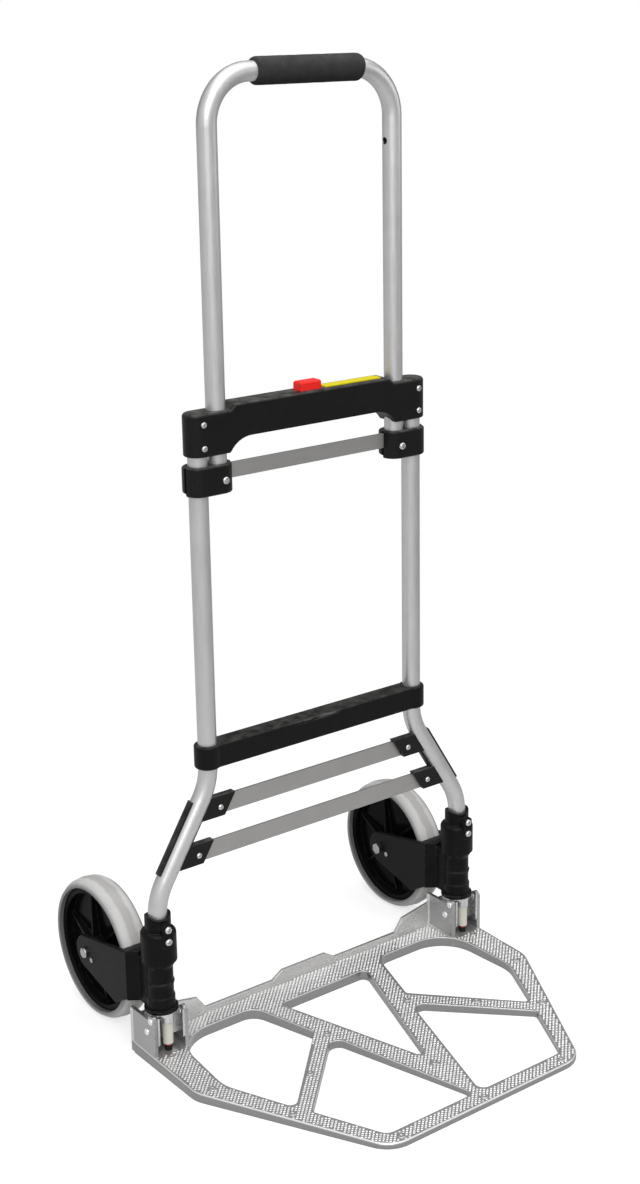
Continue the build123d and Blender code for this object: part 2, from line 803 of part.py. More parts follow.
def make_fork(side):
    shoulder = (fork_shoulder_y, fork_top_z)
    low_corner = (fork_low_y, fork_low_z)
    upper = arm_tangent_point(shoulder, -1)
    lower = arm_tangent_point(low_corner, 1)
    edge = Polyline(
        lower,
        low_corner,
        (fork_web_bottom_y, fork_web_bottom_z),
        (fork_web_start_y, fork_web_bottom_z),
        (fork_web_start_y, fork_top_z),
        shoulder,
        upper,
    )
    end = ThreePointArc(upper, (axle_y + arm_end_radius, axle_z), lower)
    outline = make_face([edge, end])
    body = extrude(Plane.YZ * outline, arm_outer, both=True)
    flanks = body.faces().filter_by(Axis.X)
    rims = [rim for flank in flanks for rim in flank.edges() if rim.center().Y > fork_web_start_y + 1]
    body = fillet(rims, arm_edge_round)
    reach = axle_y + 2 * arm_end_radius
    plan = [
        (-fork_neck_half_width, fork_web_start_y - 1),
        (fork_neck_half_width, fork_web_start_y - 1),
        (fork_neck_half_width, fork_neck_y),
        (arm_outer, fork_shoulder_y),
        (arm_outer, reach),
        (-arm_outer, reach),
        (-arm_outer, fork_shoulder_y),
        (-fork_neck_half_width, fork_neck_y),
    ]
    body &= extrude(make_face(Polyline(*plan, close=True)), fork_top_z)
    body -= block((-arm_outer, arm_outer), (0, fork_neck_y), (fork_neck_z, fork_top_z + 1))
    body -= rod_along_x(-arm_inner, arm_inner, axle_y, axle_z, wheel_radius + tyre_web_gap)
    body += revolve(Plane.XZ * sleeve_profile(), Axis.Z)
    body -= column(0, 0, tube_radius + fit_gap, sleeve_bottom_z - 1, sleeve_top_z + 1)
    body -= rod_along_x(-arm_outer - 1, arm_outer + 1, axle_y, axle_z, axle_radius + fit_gap)
    for way in (-1, 1):
        inside = way * (arm_outer - arm_pin_depth - fit_gap)
        body -= rod_along_x(inside, way * (arm_outer + 1), *arm_pin_place(), arm_pin_radius / 2 + fit_gap)
    return Pos(side * leg_half_spacing, 0, 0) * body


def arm_pin_place():
    return axle_y - arm_pin_forward, axle_z - arm_pin_below


def make_arm_pins(side):
    middle = side * leg_half_spacing
    pins = []
    for way in (-1, 1):
        seat = middle + way * arm_outer
        stem = rod_along_x(seat - way * arm_pin_depth, seat, *arm_pin_place(), arm_pin_radius / 2)
        pins.append(stem + rod_along_x(seat, seat + way * arm_pin_proud, *arm_pin_place(), arm_pin_radius))
    return pins


def make_axle_bolt(side):
    seat = side * (leg_half_spacing + arm_outer)
    tail = side * (leg_half_spacing - arm_outer - axle_nut_height)
    head = rod_along_x(seat, seat + side * axle_head_height, axle_y, axle_z, axle_head_radius)
    rims = head.edges().group_by(Axis.X)
    head = fillet(rims[-1] if side > 0 else rims[0], axle_head_height / 2)
    return head + rod_along_x(seat, tail, axle_y, axle_z, axle_radius)


def make_axle_nut(side):
    seat = side * (leg_half_spacing - arm_outer)
    plane = Plane(origin=(seat, axle_y, axle_z), z_dir=(-side, 0, 0))
    hexagon = RegularPolygon(axle_nut_across / 2, 6, major_radius=False)
    nut = extrude(plane * hexagon, axle_nut_height)
    tail = seat - side * (axle_nut_height + 1)
    return nut - rod_along_x(seat + side, tail, axle_y, axle_z, axle_radius + fit_gap)


def on_axle(side, shape):
    return Pos(side * leg_half_spacing, axle_y, axle_z) * Rot(0, 90, 0) * shape


# Hub with a rim, a thin web, a boss and tapering ribs on both faces of the web
def make_hub(side):
    rim_inside = hub_radius - hub_rim_thickness
    hub = Cylinder(hub_radius, 2 * hub_rim_half_width) - Cylinder(rim_inside, 2 * hub_rim_half_width)
    hub = fillet(hub.edges().filter_by(GeomType.CIRCLE), hub_rim_thickness / 4)
    hub += Cylinder(rim_inside + hub_rim_thickness / 2, 2 * hub_web_half_thickness)
    hub += Cylinder(hub_boss_radius, 2 * hub_boss_half_width)
    rib_outline = [
        (0, -hub_rib_boss_height),
        (rim_inside + hub_rim_thickness / 2, -hub_rib_rim_height),
        (rim_inside + hub_rim_thickness / 2, hub_rib_rim_height),
        (0, hub_rib_boss_height),
    ]
    rib = extrude(Plane.XZ * make_face(Polyline(*rib_outline, close=True)), hub_rib_thickness / 2, both=True)
    for index in range(hub_rib_count):
        hub += Rot(0, 0, hub_rib_turn + 360 * index / hub_rib_count) * rib
    return on_axle(side, hub - Cylinder(bush_radius + fit_gap, 4 * hub_boss_half_width))


def make_tyre(side):
    half = tyre_width / 2
    inside = hub_radius + fit_gap
    shoulder = wheel_radius - tyre_crown
    flat = half - tyre_shoulder
    wall = shoulder - tyre_shoulder
    tread = ThreePointArc((shoulder, -flat), (wheel_radius, 0), (shoulder, flat))
    turn = tyre_shoulder * math.sqrt(0.5)
    upper = ThreePointArc((shoulder, flat), (wall + turn, flat + turn), (wall, half))
    lower = ThreePointArc((wall, -half), (wall + turn, -flat - turn), (shoulder, -flat))
    sides_and_seat = Polyline((wall, half), (inside, half), (inside, -half), (wall, -half))
    profile = make_face([tread, upper, lower, sides_and_seat])
    return on_axle(side, revolve(Plane.XZ * profile, Axis.Z))


def make_bushes(side):
    ring = Cylinder(bush_radius, bush_length) - Cylinder(axle_radius + fit_gap, bush_length)
    offset = hub_boss_half_width - bush_length / 2
    return [on_axle(side, Pos(0, 0, way * offset) * ring) for way in (-1, 1)]


# Yoke: a ring under the leg with a spigot inside the tube, two hinge cheeks and a wall between them
def make_yoke(side):
    x = side * leg_half_spacing
    yoke = column(x, 0, yoke_ring_radius, yoke_ring_bottom_z, leg_foot_z)
    yoke += column(x, 0, tube_bore - fit_gap, leg_foot_z, leg_foot_z + yoke_spigot_height)
    bottom = yoke_ring_bottom_z - yoke_cheek_drop
    for way in (-1, 1):
        across = sorted((x + way * yoke_ring_radius, x + way * (yoke_ring_radius - yoke_cheek_thickness)))
        cheek = block(across, (yoke_cheek_front_y, yoke_cheek_rear_y), (bottom, leg_foot_z))
        yoke += fillet(cheek.edges().filter_by(Axis.X).group_by(Axis.Z)[0], yoke_cheek_round)
    wide = yoke_ring_radius - fit_gap
    wall_depth = (yoke_wall_front_y, yoke_wall_front_y + yoke_cheek_thickness)
    yoke += block((x - wide, x + wide), wall_depth, (bottom, leg_foot_z))
    yoke += column(x, rod_y, yoke_guide_radius, yoke_ring_bottom_z - yoke_guide_drop, leg_foot_z)
    yoke -= column(x, rod_y, rod_radius + fit_gap, 0, rod_guide_top_z)
    for way in (-1, 1):
        start = x + way * (yoke_guide_radius + 1)
        end = x + way * (yoke_ring_radius + 1)
        yoke -= rod_along_x(start, end, hinge_y, hinge_z, hinge_rivet_radius + fit_gap)
    return yoke


# Rivets through the toe plate's ears: hinge rivets reach the yoke, stop rivets only the ear
def ear_rivets(y, z, radius, inner_end):
    rivets = []
    for name, side in sides:
        for way in (-1, 1):
            x = side * leg_half_spacing
            face = x + way * ear_outer
            head = rod_along_x(face, face + way * hinge_rivet_head_height, y, z, hinge_rivet_head_radius)
            rims = head.edges().group_by(Axis.X)
            head = fillet(rims[-1] if way > 0 else rims[0], hinge_rivet_head_height * 0.8)
            rivets.append(head + rod_along_x(x + way * inner_end, face, y, z, radius))
    return rivets


def make_hinge_rivets():
    inner_end = yoke_ring_radius - yoke_cheek_thickness - cheek_gap
    return ear_rivets(hinge_y, hinge_z, hinge_rivet_radius, inner_end)


def stop_rivet_place():
    return hinge_y + stop_rivet_back, hinge_z - stop_rivet_below


def make_stop_rivets():
    return ear_rivets(*stop_rivet_place(), stop_rivet_radius, ear_inner)


# Cast toe plate: a tapering frame with struts, an upright rear lip and two hinge ears per side
def toe_outline():
    right = [
        (toe_half_width, toe_rear_y, toe_rear_corner_round),
        (toe_half_width, toe_side_corner_y, toe_side_corner_round),
        (toe_front_half_width, toe_front_y, toe_front_corner_round),
    ]
    left = [(-x, y, radius) for x, y, radius in reversed(right)]
    return rounded_face(right + left)


def mirrored(corners):
    return [(-x, y, radius) for x, y, radius in reversed(corners)]


def toe_wedge():
    plate = extrude(toe_outline(), toe_rear_thickness)
    far = 2 * toe_half_width
    high = 2 * toe_rear_thickness
    section = [
        (toe_rear_y, toe_rear_thickness),
        (toe_front_y - 1, toe_top_z(toe_front_y - 1)),
        (toe_front_y - 1, high),
        (toe_rear_y, high),
    ]
    plate -= extrude(Plane.YZ * make_face(Polyline(*section, close=True)), far, both=True)
    top = plate.faces().sort_by(Axis.Z)[-1]
    rim = [edge for edge in top.edges() if edge.center().Y < toe_rear_y - fit_gap]
    return fillet(rim, toe_edge_round)


def toe_lip():
    ear_far = leg_half_spacing - ear_inner
    right = [
        (lip_tab_base_half_width, toe_lip_top_z),
        (corner_tab_base_x, toe_lip_top_z),
        (corner_tab_low_x, corner_tab_low_z),
        (ear_far, corner_tab_high_z),
        (leg_half_spacing + ear_outer, corner_tab_high_z),
        (leg_half_spacing + ear_outer, 0),
    ]
    tab = [(-lip_tab_base_half_width, toe_lip_top_z), (-lip_tab_top_half_width, lip_tab_top_z)]
    tab += [(lip_tab_top_half_width, lip_tab_top_z)]
    left = [(-x, z) for x, z in reversed(right[1:])]
    face = make_face(Polyline(*left, *tab, *right, close=True))
    return extrude(Plane.XZ.offset(-toe_rear_y) * face, toe_lip_thickness)


def ear_face():
    plate = [
        (ear_front_y, 0),
        (toe_rear_y, 0),
        (toe_rear_y, ear_top_z),
        (hinge_y, ear_top_z),
        (ear_front_y, hinge_z),
    ]
    return make_face(Polyline(*plate, close=True)) + Pos(hinge_y, hinge_z) * Circle(ear_lobe_radius)


def make_toe_plate():
    plate = toe_wedge()
    right = [rear_opening, front_opening]
    left = [mirrored(corners) for corners in right]
    for corners in [*right, *left, middle_opening]:
        plate -= extrude(rounded_face(corners), 2 * toe_rear_thickness)
    plate += toe_lip()
    for name, side in sides:
        for way in (-1, 1):
            start = side * leg_half_spacing + way * ear_inner
            plane = Plane(origin=(start, 0, 0), x_dir=(0, 1, 0), z_dir=(1, 0, 0))
            plate += extrude(plane * ear_face(), way * ear_thickness)
            holes = ((hinge_y, hinge_z, hinge_rivet_radius), (*stop_rivet_place(), stop_rivet_radius))
            for y, z, radius in holes:
                plate -= rod_along_x(start - way, start + way * (ear_thickness + 1), y, z, radius + fit_gap)
    return plate


# Push rod: a hollow plunger in the yoke's guide, with a soft tip above a pad on the toe plate
def make_push_rod(side):
    x = side * leg_half_spacing
    rod = column(x, rod_y, rod_radius, rod_bottom_z, rod_top_z)
    rod -= column(x, rod_y, rod_bore_radius, rod_bore_floor_z, rod_top_z + 1)
    stem = rod_tip_stem_radius + fit_gap
    return rod - column(x, rod_y, stem, rod_bottom_z - 1, rod_bottom_z + rod_tip_stem_height + fit_gap)


def make_rod_tip(side):
    x = side * leg_half_spacing
    stem_top = rod_bottom_z + rod_tip_stem_height
    tip = column(x, rod_y, rod_tip_radius, rod_bottom_z - rod_tip_height, rod_bottom_z)
    return tip + column(x, rod_y, rod_tip_stem_radius, rod_bottom_z, stem_top)


def make_rod_spring(side):
    x = side * leg_half_spacing
    spring = column(x, rod_y, rod_spring_radius, rod_bore_floor_z, rod_guide_top_z)
    return spring - column(x, rod_y, rod_spring_radius - rod_spring_wire, rod_bore_floor_z, rod_guide_top_z)


def make_rod_pads():
    top = rod_bottom_z - rod_tip_height - slide_gap
    pads = []
    for name, side in sides:
        pad = column(side * leg_half_spacing, rod_y, rod_pad_radius, 0, top)
        pads.append(pad - toe_wedge())
    return pads


def save(node, shape):
    solids = Compound(children=shape) if isinstance(shape, list) else shape
    export_step(solids, f"parts/{node}.step")


save("handle_tube", make_handle_tube())
save("foam_grip", make_grip())
save("handle_bar", handle_bar_block(0))
save("clamp_screws", make_clamp_screws())

latch_front, latch_rear = make_latch_shells()
save("latch_front_shell", latch_front)
save("latch_rear_shell", latch_rear)
save("latch_screws", make_latch_screws())
save("release_button", make_button())
save("button_spring", make_button_spring())
save("top_strip", make_strip())

save("cross_bar", make_cross_bar())
save("upper_slat", make_slat(upper_slat_z))
save("lower_slat", make_slat(lower_slat_z))
save("slat_screws", make_slat_screws())
save("collar_screws", make_collar_screws())

save("toe_plate", make_toe_plate())
save("hinge_rivets", make_hinge_rivets())
save("stop_rivets", make_stop_rivets())
save("rod_pads", make_rod_pads())

for name, side in sides:
    clamp_front, clamp_rear = make_clamp_halves(side)
    save(f"{name}_clamp_front", clamp_front)
    save(f"{name}_clamp_rear", clamp_rear)
    save(f"{name}_latch_pin", make_latch_pin(side))
    save(f"{name}_leg", make_leg(side))
    save(f"{name}_slat_bracket", make_bracket(side))
    save(f"{name}_collar", make_collar(side))
    save(f"{name}_fork", make_fork(side))
    save(f"{name}_arm_pins", make_arm_pins(side))
    save(f"{name}_axle_bolt", make_axle_bolt(side))
    save(f"{name}_axle_nut", make_axle_nut(side))
    save(f"{name}_hub", make_hub(side))
    save(f"{name}_tyre", make_tyre(side))
    save(f"{name}_bushes", make_bushes(side))
    save(f"{name}_yoke", make_yoke(side))
    save(f"{name}_push_rod", make_push_rod(side))
    save(f"{name}_rod_tip", make_rod_tip(side))
    save(f"{name}_rod_spring", make_rod_spring(side))

print(f"handle travel {handle_travel:.2f} mm")
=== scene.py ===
import math
import bpy
from mathutils import Matrix, Vector, noise


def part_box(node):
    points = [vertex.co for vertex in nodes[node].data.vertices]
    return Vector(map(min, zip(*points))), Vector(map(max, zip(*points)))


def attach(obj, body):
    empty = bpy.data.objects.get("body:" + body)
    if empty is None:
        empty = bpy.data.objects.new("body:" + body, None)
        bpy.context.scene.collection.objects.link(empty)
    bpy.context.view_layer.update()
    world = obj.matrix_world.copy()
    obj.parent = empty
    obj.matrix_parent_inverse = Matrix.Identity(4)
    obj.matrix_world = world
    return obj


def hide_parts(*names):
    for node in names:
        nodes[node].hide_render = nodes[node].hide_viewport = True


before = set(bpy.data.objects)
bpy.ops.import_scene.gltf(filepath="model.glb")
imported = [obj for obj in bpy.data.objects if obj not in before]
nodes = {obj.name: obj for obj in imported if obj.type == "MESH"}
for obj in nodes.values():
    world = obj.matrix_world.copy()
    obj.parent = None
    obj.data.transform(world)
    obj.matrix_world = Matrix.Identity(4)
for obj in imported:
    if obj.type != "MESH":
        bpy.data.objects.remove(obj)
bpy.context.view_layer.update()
scene = bpy.context.scene
scene.view_settings.view_transform = "Standard"
print("hand truck: frame loaded,", len(nodes), "nodes")


# camera, solved from the photograph (metres, radians, pixels of the 640 x 1184 picture)
cameraView = {
    "place": (-1.22085, -1.65639, 1.18119), "yaw": 0.6573, "pitch": 0.2760, "roll": -0.0121,
    "focalPixels": 1861.60, "centrePixels": (349.45, 525.21), "picture": (640, 1184), "sensor": 36.0,
}


def makeCamera(view):
    yaw, pitch, roll = view["yaw"], view["pitch"], view["roll"]
    forward = Vector((math.sin(yaw) * math.cos(pitch), math.cos(yaw) * math.cos(pitch), -math.sin(pitch)))
    level = Vector((math.cos(yaw), -math.sin(yaw), 0))
    upright = level.cross(forward)
    right = math.cos(roll) * level + math.sin(roll) * upright
    up = -math.sin(roll) * level + math.cos(roll) * upright
    wide, high = view["picture"]
    longSide = max(wide, high)
    data = bpy.data.cameras.new("photoCamera")
    data.sensor_width = view["sensor"]
    data.lens = view["focalPixels"] * view["sensor"] / longSide
    data.shift_x = (wide / 2 - view["centrePixels"][0]) / longSide
    data.shift_y = (view["centrePixels"][1] - high / 2) / longSide
    camera = bpy.data.objects.new("photoCamera", data)
    turn = Matrix((right, up, -forward)).transposed().to_4x4()
    camera.matrix_world = Matrix.Translation(view["place"]) @ turn
    scene.collection.objects.link(camera)
    scene.camera = camera


makeCamera(cameraView)
print("hand truck: camera set")


# node helpers, used by every material and geometry tree
def plug(tree, socket, value):
    if isinstance(value, bpy.types.NodeSocket):
        tree.links.new(value, socket)
    else:
        socket.default_value = value


def addNode(tree, kind, inputs=None, **settings):
    made = tree.nodes.new(kind)
    for key, value in settings.items():
        setattr(made, key, value)
    for key, value in (inputs or {}).items():
        plug(tree, made.inputs[key], value)
    return made


def sums(tree, operation, first, second=0.0, clamp=False):
    made = addNode(tree, "ShaderNodeMath", {0: first, 1: second}, operation=operation, use_clamp=clamp)
    return made.outputs[0]


def times(tree, first, *factors, clamp=False):
    for factor in factors:
        first = sums(tree, "MULTIPLY", first, factor, clamp)
    return first


def vectorSums(tree, operation, first, second=(0.0, 0.0, 0.0)):
    made = addNode(tree, "ShaderNodeVectorMath", {0: first, 1: second}, operation=operation)
    return made.outputs["Value" if operation in ("DOT_PRODUCT", "LENGTH", "DISTANCE") else "Vector"]


def splitPlace(tree, place):
    return addNode(tree, "ShaderNodeSeparateXYZ", {0: place}).outputs


def spread(tree, value, low, high, toLow=0.0, toHigh=1.0):
    made = addNode(tree, "ShaderNodeMapRange", {"Value": value, "From Min": low, "From Max": high,
                                                "To Min": toLow, "To Max": toHigh})
    return made.outputs["Result"]


def mottle(tree, place, scale, detail, roughness=0.5):
    made = addNode(tree, "ShaderNodeTexNoise", {"Vector": place, "Scale": scale, "Detail": detail,
                                                "Roughness": roughness})
    return made.outputs[0]


def blendColours(tree, share, first, second, how="MIX"):
    made = addNode(tree, "ShaderNodeMix", {0: share, 6: first, 7: second}, data_type="RGBA", blend_type=how)
    return made.outputs[2]


def blendValues(tree, share, first, second):
    return addNode(tree, "ShaderNodeMix", {0: share, 2: first, 3: second}, data_type="FLOAT").outputs[0]


def grey(level, warmth=0.0):
    return (level * (1 + warmth), level, level * (1 - warmth), 1.0)


def startTree(name, kind, inputs, outputs):
    tree = bpy.data.node_groups.new(name, kind)
    for label, sort, value in inputs:
        socket = tree.interface.new_socket(name=label, in_out="INPUT", socket_type="NodeSocket" + sort)
        if value is not None:
            socket.default_value = value
    for label, sort in outputs:
        tree.interface.new_socket(name=label, in_out="OUTPUT", socket_type="NodeSocket" + sort)
    entry = tree.nodes.new("NodeGroupInput")
    leave = tree.nodes.new("NodeGroupOutput")
    return tree, entry.outputs, leave.inputs


# shader groups shared by the finishes
grainLook = {"detail": 4.0, "blotchShare": 0.04, "blotchDetail": 3.0}
wearAndGlintLook = {"samples": 4, "edge": (0.985, 0.80), "detail": 5.0, "roughness": 0.7, "patches": (0.38, 0.66)}
dustAndSheenLook = {"lying": (0.25, 0.95), "detail": 6.0, "roughness": 0.65, "specks": (0.35, 0.75)}
scuffLook = {
    "turn": (0.5, 0.9, 0.4), "stretch": (1.0, 9.0, 1.6), "detail": 6.0, "roughness": 0.75,
    "lines": (0.60, 0.72), "patchScale": 9.0, "patchDetail": 2.0, "patches": (0.48, 0.62),
}


def makeFineGrain(look):
    tree, given, out = startTree(
        "fineGrain", "ShaderNodeTree",
        [("Vector", "Vector", None), ("Scale", "Float", 900.0), ("Stretch", "Vector", (1.0, 1.0, 1.0))],
        [("Value", "Float"), ("Blotch", "Float")])
    stretched = vectorSums(tree, "MULTIPLY", given["Vector"], given["Stretch"])
    broad = times(tree, given["Scale"], look["blotchShare"])
    plug(tree, out["Value"], mottle(tree, stretched, given["Scale"], look["detail"]))
    plug(tree, out["Blotch"], mottle(tree, given["Vector"], broad, look["blotchDetail"]))
    return tree


# pale edges from rounded normals: worn edges, and on some finishes a painted highlight (glints) along the
# edges
def makeEdgeWearAndGlint(look):
    tree, given, out = startTree(
        "edgeWear", "ShaderNodeTree",
        [("Vector", "Vector", None), ("Radius", "Float", 0.0008), ("Scale", "Float", 160.0),
         ("Amount", "Float", 0.6)],
        [("Mask", "Float"), ("Normal", "Vector")])
    rounded = addNode(tree, "ShaderNodeBevel", {"Radius": given["Radius"]}, samples=look["samples"])
    flat = addNode(tree, "ShaderNodeNewGeometry")
    along = vectorSums(tree, "DOT_PRODUCT", rounded.outputs[0], flat.outputs["Normal"])
    edge = spread(tree, along, *look["edge"])
    rubbed = mottle(tree, given["Vector"], given["Scale"], look["detail"], look["roughness"])
    patchy = spread(tree, rubbed, *look["patches"])
    plug(tree, out["Mask"], times(tree, edge, patchy, given["Amount"], clamp=True))
    plug(tree, out["Normal"], rounded.outputs[0])
    return tree


# pale mask on up-facing faces: settled dust, and on black plastic and foam also a painted sheen on the tops
def makeSettledDustAndSheen(look):
    tree, given, out = startTree(
        "settledDust", "ShaderNodeTree",
        [("Vector", "Vector", None), ("Facing", "Vector", None), ("Scale", "Float", 60.0),
         ("Amount", "Float", 0.3)],
        [("Mask", "Float")])
    upward = vectorSums(tree, "DOT_PRODUCT", given["Facing"], (0.0, 0.0, 1.0))
    lying = spread(tree, upward, *look["lying"])
    specks = mottle(tree, given["Vector"], given["Scale"], look["detail"], look["roughness"])
    uneven = spread(tree, specks, *look["specks"])
    plug(tree, out["Mask"], times(tree, lying, uneven, given["Amount"], clamp=True))
    return tree


def makeScuffs(look):
    tree, given, out = startTree(
        "scuffs", "ShaderNodeTree",
        [("Vector", "Vector", None), ("Scale", "Float", 30.0), ("Amount", "Float", 0.4)],
        [("Mask", "Float")])
    tilted = addNode(tree, "ShaderNodeMapping", {"Vector": given["Vector"], "Rotation": look["turn"],
                                                 "Scale": look["stretch"]}).outputs[0]
    drawn = mottle(tree, tilted, given["Scale"], look["detail"], look["roughness"])
    lines = spread(tree, drawn, *look["lines"])
    where = mottle(tree, given["Vector"], look["patchScale"], look["patchDetail"])
    patches = spread(tree, where, *look["patches"])
    plug(tree, out["Mask"], times(tree, lines, patches, given["Amount"], clamp=True))
    return tree


groups = {"grain": makeFineGrain(grainLook), "wearAndGlint": makeEdgeWearAndGlint(wearAndGlintLook),
          "dustAndSheen": makeSettledDustAndSheen(dustAndSheenLook), "scuffs": makeScuffs(scuffLook)}
print("hand truck: shader groups built,", len(groups))


# parts that every finish has
def useGroup(tree, name, **inputs):
    made = tree.nodes.new("ShaderNodeGroup")
    made.node_tree = groups[name]
    for key, value in inputs.items():
        plug(tree, made.inputs[key], value)
    return made.outputs


def startFinish(name):
    finish = bpy.data.materials.new(name)
    finish.use_nodes = True
    tree = finish.node_tree
    coords = tree.nodes.new("ShaderNodeTexCoord")
    return finish, tree, tree.nodes["Principled BSDF"], coords.outputs


def mixGrain(tree, grain, look):
    fine, broad = look["mixShares"]
    both = sums(tree, "ADD", times(tree, grain["Value"], fine), times(tree, grain["Blotch"], broad))
    return spread(tree, both, *look["mixRange"])


def addBump(tree, shader, height, strength, distance, normal=None):
    bump = addNode(tree, "ShaderNodeBump", {"Height": height, "Strength": strength, "Distance": distance})
    if normal is not None:
        plug(tree, bump.inputs["Normal"], normal)
    plug(tree, shader.inputs["Normal"], bump.outputs[0])


# toe plate's sloping top, for its finish, its bosses and its tread
plateTop = {  # no tread beyond both earX and earY
    "rearZ": 0.0135, "slope": 0.01977, "rearY": 0.032, "earX": 0.200, "earY": -0.022, "earRear": 0.026,
    # rim: the top band of the walls is painted lighter, a painted highlight along the opening edges
    "slack": 0.0003, "rearGap": 0.0005, "rim": (-0.0016, -0.0006), "rimShare": 0.8,
}

# bare and cast metals: base level, metallic share, roughness range, direction of the drawn lines, pale edges
# that are partly wear and partly painted highlight
metalBase = {
    "warmth": 0.0, "metallic": 1.0, "stretch": (1.0, 1.0, 1.0), "mixShares": (0.45, 0.55),
    "mixRange": (0.30, 0.70), "grainRange": (0.3, 0.7), "wearAndGlintScale": 220.0, "wornAndGlintLift": 0.25,
    "wornAndGlintMost": 0.9, "bumpDepth": 0.0004,
}
metalFinishes = {
    "tubeAluminium": {"level": 0.57, "vary": 0.04, "metallic": 0.80, "rough": (0.32, 0.44), "scale": 700.0,
                      "stretch": (1.0, 1.0, 0.05), "edge": 0.0006, "wearAndGlint": 0.0, "bump": 0.01},
    "barAluminium": {"level": 0.365, "vary": 0.02, "warmth": 0.015, "metallic": 0.80, "rough": (0.36, 0.50),
                     "scale": 700.0, "stretch": (0.04, 1.0, 1.0), "edge": 0.0006, "wearAndGlint": 0.5, "bump": 0.01},
    # cast plate: its pale edges are partly wear and partly a painted highlight along the edges
    "castAluminium": {"level": 0.62, "vary": 0.04, "warmth": 0.008, "metallic": 0.80, "rough": (0.26, 0.36),
                      # between and walls: painted shade, darker ground between the tread blocks and darker
                      # side walls
                      "scale": 420.0, "edge": 0.0014, "wearAndGlint": 0.8, "bump": 0.03, "between": 0.55,
                      # rim: painted highlight band along the top of the walls
                      "walls": 0.27, "rim": 0.90, "rimMetallic": 0.25, "ears": 0.36},
    "treadAluminium": {"level": 0.86, "vary": 0.06, "warmth": 0.004, "metallic": 0.65, "rough": (0.30, 0.44),
                       "scale": 300.0, "edge": 0.0003, "wearAndGlint": 0.5, "bump": 0.04},
    "bossAluminium": {"level": 0.60, "vary": 0.08, "warmth": 0.004, "metallic": 0.85, "rough": (0.28, 0.42),
                      "scale": 420.0, "edge": 0.0003, "wearAndGlint": 0.5, "bump": 0.04},
    "yokeZinc": {"level": 0.60, "vary": 0.08, "warmth": -0.01, "metallic": 0.90, "rough": (0.24, 0.38),
                 "scale": 520.0, "edge": 0.0008, "wearAndGlint": 0.5, "bump": 0.04},
    "steelFixings": {"level": 0.58, "vary": 0.08, "rough": (0.18, 0.32), "scale": 900.0, "edge": 0.0003,
                     "wearAndGlint": 0.3, "bump": 0.02},
    "rivetAluminium": {"level": 0.86, "vary": 0.04, "warmth": -0.01, "metallic": 0.60, "rough": (0.20, 0.30),
                       "scale": 600.0, "edge": 0.0004, "wearAndGlint": 0.4, "bump": 0.02},
    "boltSteel": {"level": 0.34, "vary": 0.08, "warmth": -0.01, "rough": (0.20, 0.32), "scale": 600.0,
                  "edge": 0.0005, "wearAndGlint": 0.6, "bump": 0.03},
    "springSteel": {"level": 0.40, "vary": 0.08, "warmth": -0.02, "rough": (0.25, 0.38), "scale": 900.0,
                    "edge": 0.0002, "wearAndGlint": 0.3, "bump": 0.02},
}


# masks: the treaded top, the walls painted darker as shade, the painted highlight band at their top, and the
# ears
def plateMasks(tree, place):  # the treaded top, the side walls, their bright rim and the ears
    x, y, z = splitPlace(tree, place)
    slack = plateTop["slack"]
    fall = times(tree, sums(tree, "SUBTRACT", plateTop["rearY"], y), plateTop["slope"])
    above = sums(tree, "SUBTRACT", sums(tree, "ADD", z, fall), plateTop["rearZ"])
    outward = sums(tree, "GREATER_THAN", sums(tree, "ABSOLUTE", x), plateTop["earX"])
    level = sums(tree, "LESS_THAN", sums(tree, "ABSOLUTE", above), slack)
    atEars = times(tree, outward, sums(tree, "GREATER_THAN", y, plateTop["earY"]))
    treaded = times(tree, level, sums(tree, "SUBTRACT", 1.0, atEars))
    ahead = sums(tree, "LESS_THAN", y, plateTop["rearY"] - plateTop["rearGap"])
    # walls below the top, painted darker as shade
    walls = times(tree, sums(tree, "LESS_THAN", above, -slack), ahead)
    rim = times(tree, walls, spread(tree, above, *plateTop["rim"], 0.0, plateTop["rimShare"]))
    raised = sums(tree, "GREATER_THAN", above, slack)
    ears = times(tree, raised, sums(tree, "LESS_THAN", y, plateTop["earRear"]), outward)
    return treaded, walls, rim, ears


def makeMetal(name, look):
    finish, tree, shader, coords = startFinish(name)
    place = coords["Object"]
    grain = useGroup(tree, "grain", Vector=place, Scale=look["scale"], Stretch=look["stretch"])
    wearAndGlint = useGroup(tree, "wearAndGlint", Vector=place, Radius=look["edge"], Scale=look["wearAndGlintScale"],
                    Amount=look["wearAndGlint"])
    level, vary, warmth = look["level"], look["vary"], look["warmth"]
    darker, lighter = grey(level - vary, warmth), grey(level + vary, warmth)
    base = blendColours(tree, mixGrain(tree, grain, look), darker, lighter)
    shader.inputs["Metallic"].default_value = look["metallic"]
    # painted shade: darker ground between the tread's blocks and darker side walls; darker ears
    if "between" in look:  # darker ground between the tread's blocks, dark walls and ears
        treaded, walls, rim, ears = plateMasks(tree, place)
        for mask, tone in ((treaded, "between"), (walls, "walls"), (rim, "rim"), (ears, "ears")):
            base = blendColours(tree, mask, base, grey(look[tone]))
        # the painted highlight band at the top of the walls is less metallic, so it shows the lamps more than
        # the room
        polish = spread(tree, rim, 0.0, 1.0, look["metallic"], look["rimMetallic"])
        plug(tree, shader.inputs["Metallic"], polish)
    bright = grey(min(look["wornAndGlintMost"], level + look["wornAndGlintLift"]))
    plug(tree, shader.inputs["Base Color"], blendColours(tree, wearAndGlint["Mask"], base, bright))
    plug(tree, shader.inputs["Roughness"], spread(tree, grain["Value"], *look["grainRange"], *look["rough"]))
    addBump(tree, shader, grain["Value"], look["bump"], look["bumpDepth"], wearAndGlint["Normal"])
    return finish
